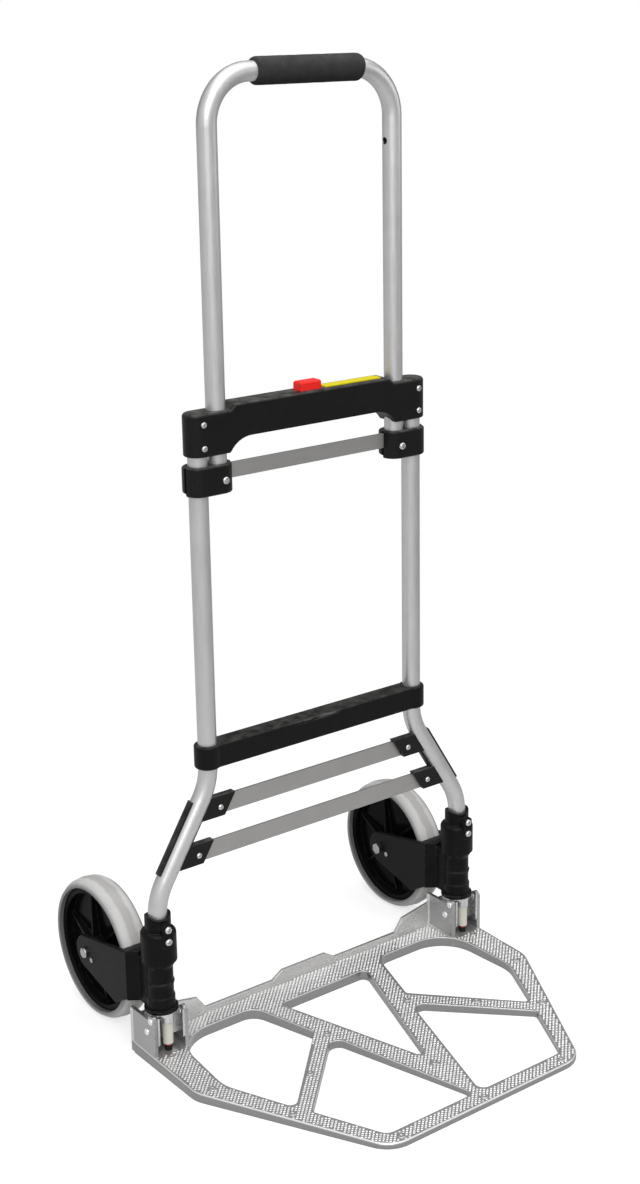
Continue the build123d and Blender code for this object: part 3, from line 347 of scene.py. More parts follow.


# moulded plastics and foam: two colours that mix, roughness range, grain, scuffs, pale edges that are wear
# and painted glints, and dust that also paints a lighter sheen on top faces
mouldedBase = {
    "shine": 0.5, "coat": 0.0, "coatRough": 0.2, "mixShares": (0.4, 0.6), "mixRange": (0.32, 0.68),
    "grainRange": (0.3, 0.7), "wearAndGlintScale": 180.0, "scuffScale": 46.0, "scuffShare": 0.35, "dustAndSheenScale": 70.0,
    "dustAndSheenShare": 0.5, "dustAndSheenColour": grey(0.30, 0.04), "dustDulls": 0.25, "bumpDepth": 0.0005,
}
crossBarRub = {  # a pale patch where loads touch the front upper edge
    "node": "cross_bar", "middle": -0.0025, "half": 0.036, "coreShare": 0.5, "fade": (0.005, 0.001),
    "drawn": (0.12, 1.0, 1.0), "scale": 420.0, "detail": 3.0, "streaks": (0.34, 0.72), "share": 0.8,
    "colour": grey(0.30),
}
mouldedFinishes = {
    # blackPlastic: its large dust share paints the lighter sheen on the latch's top faces
    "blackPlastic": {"shine": 0.10, "dark": grey(0.0030), "light": grey(0.0060), "rough": (0.38, 0.52),
                     "scale": 1500.0, "edge": 0.0008, "wearAndGlint": 0.25, "wornAndGlint": grey(0.10), "scuff": 0.25,
                     "dustAndSheen": 0.85, "bump": 0.08, "coat": 0.20},
    "crossBarBlack": {"shine": 0.10, "dark": grey(0.0030), "light": grey(0.0060), "rough": (0.38, 0.52),
                      "scale": 1500.0, "edge": 0.0008, "wearAndGlint": 0.25, "wornAndGlint": grey(0.10), "scuff": 0.25,
                      "dustAndSheen": 0.40, "bump": 0.10, "coat": 0.06, "rub": crossBarRub},
    # blackNylon: its pale edges are painted highlight, thin glints along the collar, sleeve and fork edges
    "blackNylon": {"shine": 0.05, "dark": grey(0.0035), "light": grey(0.0065), "rough": (0.36, 0.50),
                   "scale": 1300.0, "edge": 0.0010, "wearAndGlint": 0.65, "wornAndGlint": grey(0.24), "scuff": 0.12,
                   "dustAndSheen": 0.10, "bump": 0.05, "coat": 0.08},
    "hubPlastic": {"shine": 0.02, "dark": grey(0.0030), "light": grey(0.0055), "rough": (0.16, 0.26),
                   "scale": 900.0, "edge": 0.0010, "wearAndGlint": 0.60, "wornAndGlint": grey(0.16), "scuff": 0.20,
                   "dustAndSheen": 0.05, "bump": 0.03, "coat": 0.02},
    "gripFoam": {"shine": 0.1, "dark": grey(0.0340), "light": grey(0.0480), "rough": (0.82, 0.95),
                 "scale": 2600.0, "edge": 0.0008, "wearAndGlint": 0.0, "wornAndGlint": grey(0.05), "scuff": 0.10,
                 "dustAndSheen": 0.30, "bump": 0.55},
    "buttonRed": {"shine": 0.35, "dark": (0.96, 0.018, 0.012, 1.0), "light": (1.0, 0.026, 0.018, 1.0),
                  "rough": (0.30, 0.42), "scale": 900.0, "edge": 0.0006, "wearAndGlint": 0.25,
                  "wornAndGlint": (0.95, 0.16, 0.12, 1.0), "scuff": 0.15, "dustAndSheen": 0.03, "bump": 0.03},
    "stripYellow": {"shine": 0.15, "dark": (0.78, 0.66, 0.003, 1.0), "light": (0.88, 0.76, 0.008, 1.0),
                    "rough": (0.34, 0.48), "scale": 900.0, "edge": 0.0003, "wearAndGlint": 0.3,
                    "wornAndGlint": (0.86, 0.80, 0.35, 1.0), "scuff": 0.2, "dustAndSheen": 0.08, "bump": 0.03},
    "rodCream": {"dark": (0.63, 0.61, 0.52, 1.0), "light": (0.72, 0.70, 0.62, 1.0), "rough": (0.30, 0.42),
                 "scale": 700.0, "edge": 0.0005, "wearAndGlint": 0.2, "wornAndGlint": grey(0.75), "scuff": 0.4,
                 "dustAndSheen": 0.08, "bump": 0.02},
    "tipRed": {"dark": (0.30, 0.012, 0.010, 1.0), "light": (0.42, 0.022, 0.016, 1.0), "rough": (0.45, 0.60),
               "scale": 900.0, "edge": 0.0004, "wearAndGlint": 0.2, "wornAndGlint": (0.5, 0.1, 0.08, 1.0), "scuff": 0.3,
               "dustAndSheen": 0.10, "bump": 0.04},
    "padBlack": {"shine": 0.15, "dark": grey(0.0070), "light": grey(0.0140), "rough": (0.60, 0.78),
                 "scale": 1200.0, "edge": 0.0004, "wearAndGlint": 0.2, "wornAndGlint": grey(0.08), "scuff": 0.3,
                 "dustAndSheen": 0.15, "bump": 0.10},
    "bushNylon": {"dark": grey(0.52, 0.02), "light": grey(0.64, 0.02), "rough": (0.40, 0.55), "scale": 900.0,
                  "edge": 0.0004, "wearAndGlint": 0.2, "wornAndGlint": grey(0.75), "scuff": 0.2, "dustAndSheen": 0.05, "bump": 0.03},
}


def rubbedEdge(tree, place, rub):
    low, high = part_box(rub["node"])
    x, y, z = splitPlace(tree, place)
    far, near = rub["fade"]
    aside = sums(tree, "ABSOLUTE", sums(tree, "SUBTRACT", x, rub["middle"]))
    across = spread(tree, aside, rub["half"], rub["coreShare"] * rub["half"])
    front = spread(tree, y, low[1] + far, low[1] + near)
    top = spread(tree, z, high[2] - far, high[2] - near)
    drawn = vectorSums(tree, "MULTIPLY", place, rub["drawn"])
    lines = mottle(tree, drawn, rub["scale"], rub["detail"])
    streaks = spread(tree, lines, *rub["streaks"], 0.0, rub["share"])
    return times(tree, across, front, top, streaks, clamp=True)


def makeMoulded(name, look):
    finish, tree, shader, coords = startFinish(name)
    place = coords["Object"]
    grain = useGroup(tree, "grain", Vector=place, Scale=look["scale"])
    wearAndGlint = useGroup(tree, "wearAndGlint", Vector=place, Radius=look["edge"], Scale=look["wearAndGlintScale"],
                    Amount=look["wearAndGlint"])
    marks = useGroup(tree, "scuffs", Vector=place, Scale=look["scuffScale"], Amount=look["scuff"])
    dustAndSheen = useGroup(tree, "dustAndSheen", Vector=place, Facing=coords["Normal"], Scale=look["dustAndSheenScale"],
                    Amount=look["dustAndSheen"])
    colour = blendColours(tree, mixGrain(tree, grain, look), look["dark"], look["light"])
    colour = blendColours(tree, times(tree, marks["Mask"], look["scuffShare"]), colour, look["wornAndGlint"])
    colour = blendColours(tree, wearAndGlint["Mask"], colour, look["wornAndGlint"])
    colour = blendColours(tree, times(tree, dustAndSheen["Mask"], look["dustAndSheenShare"]), colour, look["dustAndSheenColour"])
    if "rub" in look:
        colour = blendColours(tree, rubbedEdge(tree, place, look["rub"]), colour, look["rub"]["colour"])
    plug(tree, shader.inputs["Base Color"], colour)
    rough = spread(tree, grain["Value"], *look["grainRange"], *look["rough"])
    duller = sums(tree, "ADD", rough, times(tree, dustAndSheen["Mask"], look["dustDulls"]), clamp=True)
    plug(tree, shader.inputs["Roughness"], duller)
    shader.inputs["Specular IOR Level"].default_value = look["shine"]
    shader.inputs["Coat Weight"].default_value = look["coat"]
    shader.inputs["Coat Roughness"].default_value = look["coatRough"]
    addBump(tree, shader, grain["Value"], look["bump"], look["bumpDepth"], wearAndGlint["Normal"])
    return finish


# grey tyres: a rounded section carried round a circle
tyreShape = {
    "radius": 0.0864, "halfWidth": 0.0175, "thickness": 0.01045, "shoulder": 0.007, "innerBend": 0.0006,
    "crown": 0.0036, "steps": 144, "bend": 8, "axle": (0.2255, 0.1275, 0.0864),
}
tyreLook = {  # pale shoulders, a darker, browner ragged band down the middle, and walls painted darker towards the hub as painted shade
    "pale": grey(0.62, 0.008), "ragged": 0.5, "raggedScale": 75.0, "raggedDetail": 5.0,
    # a darker, browner ragged band down the middle of the tread
    "middleBand": {"colour": grey(0.42, 0.030), "range": (0.42, 0.26), "share": 0.8},  # of the half width
    # wall and inner: painted shade, walls darkened towards the hub and darkest where they meet it
    "wall": {"colour": grey(0.30, 0.010), "range": (0.0820, 0.0790), "share": 0.8},  # distance from the axle
    "inner": {"colour": grey(0.045), "range": (0.0797, 0.0745), "share": 0.85},
    "scale": 700.0, "scuffScale": 46.0, "scuff": 0.5, "scuffShare": 0.3, "scuffed": grey(0.62),
    "grainRange": (0.3, 0.7), "rough": (0.42, 0.58), "blotch": (0.90, 1.06),
    "bump": 0.08, "bumpDepth": 0.0005,
}


def makeTyreFinish(name, look, shape):
    finish, tree, shader, coords = startFinish(name)
    place = coords["Object"]
    grain = useGroup(tree, "grain", Vector=place, Scale=look["scale"])
    marks = useGroup(tree, "scuffs", Vector=place, Scale=look["scuffScale"], Amount=look["scuff"])
    x, y, z = splitPlace(tree, place)
    aside = sums(tree, "ABSOLUTE", sums(tree, "SUBTRACT", sums(tree, "ABSOLUTE", x), shape["axle"][0]))
    uneven = sums(tree, "SUBTRACT", mottle(tree, place, look["raggedScale"], look["raggedDetail"]), 0.5)
    share = sums(tree, "DIVIDE", aside, shape["halfWidth"])
    line = sums(tree, "ADD", share, times(tree, uneven, look["ragged"]))
    upright = addNode(tree, "ShaderNodeCombineXYZ", {1: y, 2: z}).outputs[0]
    reach = vectorSums(tree, "DISTANCE", upright, (0.0, *shape["axle"][1:]))
    colour = look["pale"]
    for value, layer in ((line, look["middleBand"]), (reach, look["wall"]), (reach, look["inner"])):
        mask = spread(tree, value, *layer["range"], 0.0, layer["share"])
        colour = blendColours(tree, mask, colour, layer["colour"])
    colour = blendColours(tree, times(tree, marks["Mask"], look["scuffShare"]), colour, look["scuffed"])
    blotch = spread(tree, grain["Blotch"], *look["grainRange"], *look["blotch"])
    shade = addNode(tree, "ShaderNodeCombineColor", {0: blotch, 1: blotch, 2: blotch}).outputs[0]
    plug(tree, shader.inputs["Base Color"], blendColours(tree, 1.0, colour, shade, "MULTIPLY"))
    plug(tree, shader.inputs["Roughness"], spread(tree, grain["Value"], *look["grainRange"], *look["rough"]))
    addBump(tree, shader, grain["Value"], look["bump"], look["bumpDepth"])
    return finish


finishes = {name: makeMetal(name, {**metalBase, **look}) for name, look in metalFinishes.items()}
finishes.update({name: makeMoulded(name, {**mouldedBase, **look}) for name, look in mouldedFinishes.items()})
finishes["greyTyre"] = makeTyreFinish("greyTyre", tyreLook, tyreShape)
print("hand truck: finishes made,", len(finishes))


# which finish each solid of the frame wears
def onBothSides(*names):
    return [side + name for side in ("left_", "right_") for name in names]


finishOfNodes = {
    "tubeAluminium": ["handle_tube", *onBothSides("leg")],
    "barAluminium": ["handle_bar", "upper_slat", "lower_slat"],
    "castAluminium": ["toe_plate"],
    "yokeZinc": onBothSides("yoke"),
    "rivetAluminium": ["hinge_rivets", "stop_rivets"],
    "steelFixings": ["latch_screws", "slat_screws", "collar_screws", "clamp_screws",
                     *onBothSides("latch_pin")],
    "boltSteel": onBothSides("arm_pins", "axle_bolt", "axle_nut"),
    "springSteel": ["button_spring", *onBothSides("rod_spring")],
    "crossBarBlack": ["cross_bar"],
    "blackPlastic": ["latch_front_shell", "latch_rear_shell",
                     *onBothSides("clamp_front", "clamp_rear", "slat_bracket")],
    "blackNylon": onBothSides("collar", "fork"),
    "hubPlastic": onBothSides("hub"),
    "gripFoam": ["foam_grip"],
    "greyTyre": onBothSides("tyre"),
    "buttonRed": ["release_button"],
    "stripYellow": ["top_strip"],
    "rodCream": onBothSides("push_rod"),
    "tipRed": onBothSides("rod_tip"),
    "padBlack": ["rod_pads"],
    "bushNylon": onBothSides("bushes"),
}
for finishName, members in finishOfNodes.items():
    for member in members:
        nodes[member].data.materials.clear()
        nodes[member].data.materials.append(finishes[finishName])
print("hand truck: finishes on", sum(len(members) for members in finishOfNodes.values()), "solids")


# helpers for the pieces
def startGrowth(name, inputs):
    tree, given, out = startTree(name, "GeometryNodeTree", inputs, [("Geometry", "Geometry")])
    tree.is_modifier = True
    return tree, given, out


def endGrowth(tree, out, shape, material):
    real = addNode(tree, "GeometryNodeRealizeInstances", {"Geometry": shape}).outputs[0]
    painted = addNode(tree, "GeometryNodeSetMaterial", {"Geometry": real, "Material": material}).outputs[0]
    plug(tree, out["Geometry"], painted)


def turnAbout(tree, axis, angle):
    return addNode(tree, "FunctionNodeAxisAngleToRotation", {"Axis": axis, "Angle": angle}).outputs[0]


def shapeOf(tree, source):
    return addNode(tree, "GeometryNodeObjectInfo", {"Object": source}).outputs["Geometry"]


def storedValue(tree, label):
    return addNode(tree, "GeometryNodeInputNamedAttribute", {"Name": label}, data_type="FLOAT").outputs[0]


def meshObject(name, vertices, faces, attributes=None):
    mesh = bpy.data.meshes.new(name)
    mesh.from_pydata(vertices, [], faces)
    for label, values in (attributes or {}).items():
        mesh.attributes.new(label, "FLOAT", "POINT").data.foreach_set("value", values)
    made = bpy.data.objects.new(name, mesh)
    scene.collection.objects.link(made)
    return made


def growPiece(source, tree, values):
    modifier = source.modifiers.new("grow", "NODES")
    modifier.node_group = tree
    for item in tree.interface.items_tree:
        if item.in_out == "INPUT" and item.name in values:
            modifier[item.identifier] = values[item.name]
    graph = bpy.context.evaluated_depsgraph_get()
    grown = bpy.data.meshes.new_from_object(source.evaluated_get(graph), depsgraph=graph)
    name = source.name
    bpy.data.objects.remove(source)
    grown.name = name
    piece = bpy.data.objects.new(name, grown)
    scene.collection.objects.link(piece)
    return piece


def seatPiece(piece, body, slotName, *replaced):
    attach(piece, body)
    if replaced:
        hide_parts(*replaced)
    print("hand truck:", piece.name, "has", len(piece.data.polygons), "faces")


def skin(rings, closed=False):  # faces between rings of points
    count = len(rings[0])
    vertices = [point for ring in rings for point in ring]
    spans = len(rings) if closed else len(rings) - 1
    faces = []
    for row in range(spans):
        low, high = row * count, (row + 1) % len(rings) * count
        for k in range(count):
            after = (k + 1) % count
            faces.append((low + k, low + after, high + after, high + k))
    return vertices, faces


def fullTurn(steps):
    return [2 * math.pi * k / steps for k in range(steps)]


# foam grip: a sleeve along the handle's top that runs a little over the right bend
gripShape = {
    "left": -0.0645, "bendStart": 0.0705, "bendRadius": 0.054, "bendTurn": 0.1487, "height": 1.1085,
    "outer": 0.0153, "bore": 0.01106, "endRound": 0.005, "around": 72, "along": 120, "endSteps": 8,
    "boreSteps": 30, "unevenness": 0.00022, "lumps": 160,
}


def gripPoint(look, s):
    straight = look["bendStart"] - look["left"]
    if s <= straight:
        return Vector((look["left"] + s, 0, look["height"])), Vector((1, 0, 0))
    turn = (s - straight) / look["bendRadius"]
    x = look["bendStart"] + look["bendRadius"] * math.sin(turn)
    z = look["height"] - look["bendRadius"] * (1 - math.cos(turn))
    return Vector((x, 0, z)), Vector((math.cos(turn), 0, -math.sin(turn)))


def makeGrip(look):
    length = look["bendStart"] - look["left"] + look["bendRadius"] * look["bendTurn"]
    soft, steps = look["endRound"], look["endSteps"]
    stations = [soft * (1 - math.cos(math.pi / 2 * k / steps)) for k in range(steps + 1)]
    inner = [soft + (length - 2 * soft) * k / look["along"] for k in range(1, look["along"])]
    stations = stations + inner + [length - s for s in reversed(stations)]
    rings = []
    for s in stations:
        edge = min(s, length - s, soft)
        radius = look["outer"] - soft + math.sqrt(max(0.0, soft ** 2 - (soft - edge) ** 2))
        rings.append((s, radius, True))
    steps = look["boreSteps"]
    rings += [(length - length * k / steps, look["bore"], False) for k in range(steps + 1)]
    points = []
    for s, radius, outside in rings:
        middle, ahead = gripPoint(look, s)
        up = Vector((0, 1, 0)).cross(ahead).normalized()
        ring = []
        for angle in fullTurn(look["around"]):
            out = math.cos(angle) * Vector((0, 1, 0)) - math.sin(angle) * up
            reach = radius
            if outside:
                reach -= look["unevenness"] * (1 + noise.noise((middle + out * radius) * look["lumps"]))
            ring.append(middle + out * reach)
        points.append(ring)
    grip = meshObject("foamGrip", *skin(points, closed=True))
    grip.data.polygons.foreach_set("use_smooth", [True] * len(grip.data.polygons))
    grip.data.materials.append(finishes["gripFoam"])
    seatPiece(grip, "handle", "grip_foam", "foam_grip")


makeGrip(gripShape)


# pan-head screws with a cross recess, one tree for all of them, facing the front
screwShape = {  # in head radii
    "around": 24, "height": 0.62, "slotReach": 0.60, "slotHalf": 0.15, "slotDepth": 0.34, "slotFloor": 0.75,
    "shoulders": [(0.74, 0.58), (0.92, 0.40), (1.0, 0.16), (1.0, -0.10)], "turnByPlace": 0.3,
}
screwPlaces = {  # x, seat y, z and head radius in millimetres on the right, turn of the recess in degrees
    "frameScrews": {"body": "frame", "replaced": ("latch_screws", "slat_screws", "collar_screws"), "places": [
        (150.25, -15.2, 715.2, 3.6, 20), (150.25, -15.2, 741.4, 3.6, 65), (139.2, -6.5, 290.2, 3.6, 10),
        (170.7, -6.5, 238.8, 3.6, 50), (225.5, -22.0, 169.0, 4.4, 35), (225.5, -22.0, 153.9, 4.4, 70)]},
    "handleScrews": {"body": "handle", "replaced": ("clamp_screws",), "places": [
        (124.5, -16.0, 676.3, 4.4, 40)]},
}


def crossOutline(look, angle):
    folded = (angle + math.pi / 4) % (math.pi / 2) - math.pi / 4
    sine = max(1e-6, abs(math.sin(folded)))
    return min(look["slotReach"] / math.cos(folded), look["slotHalf"] / sine)


def makeScrewHead(look):
    angles = fullTurn(look["around"])
    cross = [crossOutline(look, angle) for angle in angles]
    floorZ = look["height"] - look["slotDepth"]
    rings = []
    for share, z in ((look["slotFloor"], floorZ), (1.0, look["height"])):
        rings.append([(share * r * math.cos(a), share * r * math.sin(a), z) for a, r in zip(angles, cross)])
    for radius, z in look["shoulders"]:
        rings.append([(radius * math.cos(a), radius * math.sin(a), z) for a in angles])
    vertices, faces = skin(rings)
    faces = [tuple(reversed(face)) for face in faces]
    faces.append(tuple(range(look["around"])))
    return meshObject("screwHead", vertices, faces)


def makeScrewTree():
    tree, given, out = startGrowth("screwTree", [
        ("Points", "Geometry", None), ("Head", "Object", None), ("Facing", "Vector", (0.0, -1.0, 0.0)),
        ("Material", "Material", None)])
    facing = addNode(tree, "FunctionNodeAlignRotationToVector", {"Vector": given["Facing"]}, axis="Z")
    spin = turnAbout(tree, (0.0, 0.0, 1.0), storedValue(tree, "turn"))
    turned = addNode(tree, "FunctionNodeRotateRotation", {"Rotation": facing.outputs[0], "Rotate By": spin},
                     rotation_space="LOCAL").outputs[0]
    placed = addNode(tree, "GeometryNodeInstanceOnPoints", {
        "Points": given["Points"], "Instance": shapeOf(tree, given["Head"]), "Rotation": turned,
        "Scale": storedValue(tree, "headSize")}).outputs[0]
    endGrowth(tree, out, placed, given["Material"])
    return tree


screwTree = makeScrewTree()
screwHead = makeScrewHead(screwShape)
for screwName, row in screwPlaces.items():
    both = [(side * x, *rest) for side in (-1, 1) for x, *rest in row["places"]]
    spots = [(x / 1000, y / 1000, z / 1000) for x, y, z, radius, turn in both]
    sizes = {"headSize": [radius / 1000 for x, y, z, radius, turn in both],
             "turn": [math.radians(turn + screwShape["turnByPlace"] * x) for x, y, z, radius, turn in both]}
    grown = growPiece(meshObject(screwName, spots, [], sizes), screwTree,
                      {"Head": screwHead, "Material": finishes["steelFixings"]})
    seatPiece(grown, row["body"], "steel_fixings", *row["replaced"])
bpy.data.objects.remove(screwHead)


# toe plate's round bosses: places, and radius and height along the profile, in millimetres
bossShape = {
    "around": 28, "profile": [(4.3, -0.2), (4.2, 0.45), (3.8, 0.75), (1.7, 0.75), (1.3, 0.35), (0.5, 0.15)],
    "places": [(230.0, -109.5), (186.8, -202.6), (125.7, -152.1), (61.3, -98.4), (118.6, -306.6),
               (230.8, -27.0)],
    "middlePlaces": [(0.0, -221.8), (0.0, -306.7)],
}


def plateZ(y):
    return plateTop["rearZ"] - plateTop["slope"] * (plateTop["rearY"] - y)


def makeBoss(look):
    angles = fullTurn(look["around"])
    rings = [[(r / 1000 * math.cos(a), r / 1000 * math.sin(a), z / 1000) for a in angles]
             for r, z in look["profile"]]
    vertices, faces = skin(rings)
    last = len(vertices) - look["around"]
    faces.append(tuple(range(last, last + look["around"])))
    return meshObject("bossShape", vertices, faces)


def makeBossTree():
    tree, given, out = startGrowth("bossTree", [
        ("Points", "Geometry", None), ("Boss", "Object", None), ("Tilt", "Float", 0.0),
        ("Material", "Material", None)])
    placed = addNode(tree, "GeometryNodeInstanceOnPoints", {
        "Points": given["Points"], "Instance": shapeOf(tree, given["Boss"]),
        "Rotation": turnAbout(tree, (1.0, 0.0, 0.0), given["Tilt"])}).outputs[0]
    flat = addNode(tree, "GeometryNodeSetShadeSmooth", {"Geometry": placed, "Shade Smooth": False}).outputs[0]
    endGrowth(tree, out, flat, given["Material"])
    return tree


bossSpots = [(side * x / 1000, y / 1000) for side in (-1, 1) for x, y in bossShape["places"]]
bossSpots += [(x / 1000, y / 1000) for x, y in bossShape["middlePlaces"]]
bossSpots = [(x, y, plateZ(y)) for x, y in bossSpots]
bossSource = makeBoss(bossShape)
bosses = growPiece(meshObject("plateBosses", bossSpots, []), makeBossTree(), {
    "Boss": bossSource, "Tilt": math.atan(plateTop["slope"]), "Material": finishes["bossAluminium"]})
bpy.data.objects.remove(bossSource)
seatPiece(bosses, "toe", "cast_aluminium")


# toe plate's tread of small raised blocks, dropped from a turned grid on to its top
treadShape = {
    "rowPitch": 0.0039, "blockPitch": 0.0036, "turn": math.radians(-45), "reach": 0.72,
    "start": (0.0, -0.14, 0.1), "drop": 0.2, "slack": 0.0002, "margin": 0.0022, "bossGap": 0.0052,
    "bareRear": 0.0250, "seed": 4, "smallest": (0.9, 0.9, 0.75), "largest": (1.05, 1.05, 1.1),
    "block": (2.5, 2.9), "height": 0.34, "sink": 0.08, "top": 0.76,  # millimetres, top as a share of the foot
}


def makeTreadBlock(look):
    wide, deep = look["block"][0] / 2000, look["block"][1] / 2000
    low, high = -look["sink"] / 1000, look["height"] / 1000
    corners = [(-1, -1), (1, -1), (1, 1), (-1, 1)]
    vertices = [(x * wide, y * deep, low) for x, y in corners]
    vertices += [(x * wide * look["top"], y * deep * look["top"], high) for x, y in corners]
    faces = [(k, (k + 1) % 4, (k + 1) % 4 + 4, k + 4) for k in range(4)] + [(4, 5, 6, 7)]
    return meshObject("treadBlock", vertices, faces)


def makeTreadTree(look):
    tree, given, out = startGrowth("treadTree", [
        ("Bosses", "Geometry", None), ("Plate", "Object", None), ("Block", "Object", None),
        ("Reach", "Float", 0.7), ("Row Pitch", "Float", 0.004), ("Block Pitch", "Float", 0.004),
        ("Turn", "Float", 0.785), ("Margin", "Float", 0.002), ("Boss Gap", "Float", 0.005),
        ("Rear Z", "Float", 0.0135), ("Slope", "Float", 0.02), ("Rear Y", "Float", 0.032),
        ("Seed", "Int", 0), ("Material", "Material", None)])
    across = sums(tree, "FLOOR", sums(tree, "DIVIDE", given["Reach"], given["Row Pitch"]))
    along = sums(tree, "FLOOR", sums(tree, "DIVIDE", given["Reach"], given["Block Pitch"]))
    grid = addNode(tree, "GeometryNodeMeshGrid", {
        "Size X": times(tree, across, given["Row Pitch"]), "Vertices X": sums(tree, "ADD", across, 1.0),
        "Size Y": times(tree, along, given["Block Pitch"]), "Vertices Y": sums(tree, "ADD", along, 1.0)})
    turned = turnAbout(tree, (0.0, 0.0, 1.0), given["Turn"])
    moved = addNode(tree, "GeometryNodeTransform", {
        "Geometry": grid.outputs["Mesh"], "Translation": look["start"], "Rotation": turned}).outputs[0]
    plate = shapeOf(tree, given["Plate"])
    here = addNode(tree, "GeometryNodeInputPosition").outputs[0]
    landings, checks = [], []
    for x, y in ((0, 0), (1, 0), (-1, 0), (0, 1), (0, -1)):  # the block's middle, then its margin all round
        shift = addNode(tree, "ShaderNodeCombineXYZ", {0: times(tree, given["Margin"], float(x)),
                                                       1: times(tree, given["Margin"], float(y))})
        start = vectorSums(tree, "ADD", here, shift.outputs[0])
        hit = addNode(tree, "GeometryNodeRaycast", {
            "Target Geometry": plate, "Source Position": start, "Ray Direction": (0.0, 0.0, -1.0),
            "Ray Length": look["drop"]}).outputs
        landings.append(hit["Hit Position"])
        spot = splitPlace(tree, hit["Hit Position"])
        fall = times(tree, sums(tree, "SUBTRACT", given["Rear Y"], spot[1]), given["Slope"])
        expected = sums(tree, "SUBTRACT", given["Rear Z"], fall)
        off = sums(tree, "ABSOLUTE", sums(tree, "SUBTRACT", spot[2], expected))
        checks += [sums(tree, "LESS_THAN", off, look["slack"]), hit["Is Hit"]]
    landing = landings[0]
    near = addNode(tree, "GeometryNodeProximity", {"Geometry": given["Bosses"], "Sample Position": landing},
                   target_element="POINTS").outputs["Distance"]
    spot = splitPlace(tree, landing)
    outward = sums(tree, "GREATER_THAN", sums(tree, "ABSOLUTE", spot[0]), plateTop["earX"])
    atEars = times(tree, outward, sums(tree, "GREATER_THAN", spot[1], plateTop["earY"]))
    atRear = sums(tree, "GREATER_THAN", spot[1], look["bareRear"])
    checks.append(sums(tree, "GREATER_THAN", near, given["Boss Gap"]))
    checks += [sums(tree, "SUBTRACT", 1.0, bare) for bare in (atEars, atRear)]
    held = addNode(tree, "GeometryNodeStoreNamedAttribute", {
        "Geometry": moved, "Name": "keep", "Value": times(tree, *checks)},
        data_type="FLOAT", domain="POINT").outputs[0]
    settled = addNode(tree, "GeometryNodeSetPosition", {"Geometry": held, "Position": landing}).outputs[0]
    vary = addNode(tree, "FunctionNodeRandomValue", {
        "Min": look["smallest"], "Max": look["largest"], "Seed": given["Seed"]},
        data_type="FLOAT_VECTOR").outputs[0]
    placed = addNode(tree, "GeometryNodeInstanceOnPoints", {
        "Points": settled, "Selection": sums(tree, "GREATER_THAN", storedValue(tree, "keep"), 0.5),
        "Instance": shapeOf(tree, given["Block"]), "Rotation": turned, "Scale": vary}).outputs[0]
    endGrowth(tree, out, placed, given["Material"])
    return tree


treadBlock = makeTreadBlock(treadShape)
tread = growPiece(meshObject("plateTread", bossSpots, []), makeTreadTree(treadShape), {
    "Plate": nodes["toe_plate"], "Block": treadBlock, "Reach": treadShape["reach"],
    "Row Pitch": treadShape["rowPitch"], "Block Pitch": treadShape["blockPitch"], "Turn": treadShape["turn"],
    "Margin": treadShape["margin"], "Boss Gap": treadShape["bossGap"], "Rear Z": plateTop["rearZ"],
    "Slope": plateTop["slope"], "Rear Y": plateTop["rearY"], "Seed": treadShape["seed"],
    "Material": finishes["treadAluminium"]})
bpy.data.objects.remove(treadBlock)
seatPiece(tread, "toe", "cast_aluminium")


# tyres, from the sizes above
def makeTyreTree(look):
    tree, given, out = startGrowth("tyreTree", [
        ("Start", "Geometry", None), ("Radius", "Float", 0.0864), ("Half Width", "Float", 0.0175),
        ("Thickness", "Float", 0.0105), ("Shoulder", "Float", 0.007), ("Crown", "Float", 0.0026),
        ("Steps", "Int", 144), ("Axle", "Vector", (0.0, 0.0, 0.0)), ("Material", "Material", None)])
    middle = sums(tree, "SUBTRACT", given["Radius"], sums(tree, "DIVIDE", given["Thickness"], 2.0))
    path = addNode(tree, "GeometryNodeCurvePrimitiveCircle", {
        "Resolution": given["Steps"], "Radius": middle}).outputs["Curve"]
    outline = addNode(tree, "GeometryNodeCurvePrimitiveQuadrilateral", {
        "Width": given["Thickness"], "Height": times(tree, given["Half Width"], 2.0)}).outputs[0]
    where = splitPlace(tree, addNode(tree, "GeometryNodeInputPosition").outputs[0])
    outside = sums(tree, "GREATER_THAN", where[0], 0.0)
    bend = sums(tree, "MAXIMUM", times(tree, outside, given["Shoulder"]), look["innerBend"])
    soft = addNode(tree, "GeometryNodeFilletCurve", {"Curve": outline, "Radius": bend, "Count": look["bend"]},
                   mode="POLY").outputs[0]
    fine = addNode(tree, "GeometryNodeSubdivideCurve", {"Curve": soft, "Cuts": 1}).outputs[0]
    share = sums(tree, "DIVIDE", where[1], given["Half Width"])
    dip = times(tree, times(tree, share, share), times(tree, outside, given["Crown"]))
    inward = addNode(tree, "ShaderNodeCombineXYZ", {0: times(tree, dip, -1.0)}).outputs[0]
    crowned = addNode(tree, "GeometryNodeSetPosition", {"Geometry": fine, "Offset": inward}).outputs[0]
    ring = addNode(tree, "GeometryNodeCurveToMesh", {"Curve": path, "Profile Curve": crowned}).outputs[0]
    smooth = addNode(tree, "GeometryNodeSetShadeSmooth", {"Geometry": ring}).outputs[0]
    placed = addNode(tree, "GeometryNodeTransform", {
        "Geometry": smooth, "Translation": given["Axle"],
        "Rotation": turnAbout(tree, (0.0, 1.0, 0.0), math.pi / 2)}).outputs[0]
    endGrowth(tree, out, placed, given["Material"])
    return tree


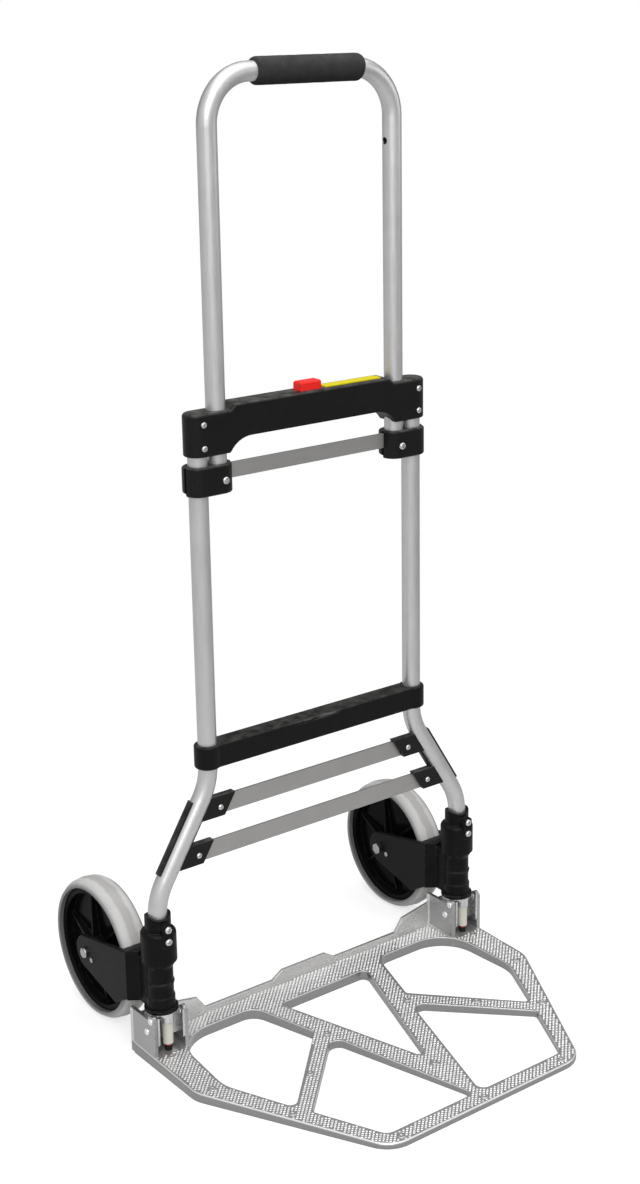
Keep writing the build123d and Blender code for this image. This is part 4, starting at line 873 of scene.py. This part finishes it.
tyreTree = makeTyreTree(tyreShape)
for sideName, side in (("left", -1), ("right", 1)):
    axle = (side * tyreShape["axle"][0], *tyreShape["axle"][1:])
    tyre = growPiece(meshObject(sideName + "Tyre", [], []), tyreTree, {
        "Radius": tyreShape["radius"], "Half Width": tyreShape["halfWidth"],
        "Thickness": tyreShape["thickness"], "Shoulder": tyreShape["shoulder"], "Crown": tyreShape["crown"],
        "Steps": tyreShape["steps"], "Axle": axle, "Material": finishes["greyTyre"]})
    seatPiece(tyre, sideName + "_wheel", "grey_tyre", sideName + "_tyre")


# plain studio: pale floor, white all round for the camera, greyer in reflections, three soft lamps
studio = {
    "worldFill": 0.42, "mirrored": (0.24, 0.92), "mirroredFrom": (-0.62, -0.72, 0.31),
    "mirroredSpread": (-0.6, 0.6), "floorHalf": 30.0, "floorColour": grey(0.52), "floorRough": 0.9,
    "floorLift": 0.64, "floorFade": (0.30, 1.25), "mirroredFloor": (0.74, 0.44), "mirroredSpan": (-0.5, 1.3),
    "aim": (0.0, -0.05, 0.55),
    "lamps": [  # name, place, size in metres, power in watts
        ("keyLamp", (-1.9, -2.6, 2.6), 2.4, 78.0),
        ("topLamp", (0.3, -0.3, 3.0), 3.2, 42.0),
        ("sideLamp", (2.6, -1.4, 1.5), 1.4, 9.0),
    ],
}


def rayKinds(tree):  # camera rays, and rays that a shiny or clear surface sends on
    path = addNode(tree, "ShaderNodeLightPath").outputs
    return path["Is Camera Ray"], sums(tree, "MAXIMUM", path["Is Glossy Ray"], path["Is Transmission Ray"])


def makeWorld(setup):
    world = bpy.data.worlds.new("studioWorld")
    scene.world = world
    world.use_nodes = True
    tree = world.node_tree
    seen, shiny = rayKinds(tree)
    heading = addNode(tree, "ShaderNodeTexCoord").outputs["Generated"]
    nearer = vectorSums(tree, "DOT_PRODUCT", heading, setup["mirroredFrom"])
    mirrored = spread(tree, nearer, *setup["mirroredSpread"], *setup["mirrored"])
    strength = blendValues(tree, shiny, setup["worldFill"], mirrored)
    sky = tree.nodes["Background"]
    sky.inputs["Color"].default_value = grey(1.0)
    plug(tree, sky.inputs["Strength"], blendValues(tree, seen, strength, 1.0))


def makeFloor(setup):
    half = setup["floorHalf"]
    corners = [(-half, -half, 0), (half, -half, 0), (half, half, 0), (-half, half, 0)]
    floor = meshObject("studioFloor", corners, [(0, 1, 2, 3)])
    paint, tree, shader, coords = startFinish("studioFloor")
    place = coords["Object"]
    away = spread(tree, vectorSums(tree, "LENGTH", place), *setup["floorFade"])
    plug(tree, shader.inputs["Base Color"], blendColours(tree, away, setup["floorColour"], grey(0.0)))
    shader.inputs["Roughness"].default_value = setup["floorRough"]
    shader.inputs["Specular IOR Level"].default_value = 0.0
    shader.inputs["Emission Color"].default_value = grey(1.0)
    seen, shiny = rayKinds(tree)
    mirrored = spread(tree, splitPlace(tree, place)[0], *setup["mirroredSpan"], *setup["mirroredFloor"])
    glow = sums(tree, "MAXIMUM", seen, times(tree, shiny, mirrored))
    lift = spread(tree, away, 0.0, 1.0, setup["floorLift"], 1.0)
    plug(tree, shader.inputs["Emission Strength"], times(tree, glow, lift))
    floor.data.materials.append(paint)


def makeLamps(setup):
    for name, place, size, power in setup["lamps"]:
        data = bpy.data.lights.new(name, "AREA")
        data.size = size
        data.energy = power
        lamp = bpy.data.objects.new(name, data)
        lamp.location = place
        lamp.rotation_euler = (Vector(setup["aim"]) - Vector(place)).to_track_quat("-Z", "Y").to_euler()
        scene.collection.objects.link(lamp)


makeWorld(studio)
makeFloor(studio)
makeLamps(studio)
print("hand truck: studio lit")
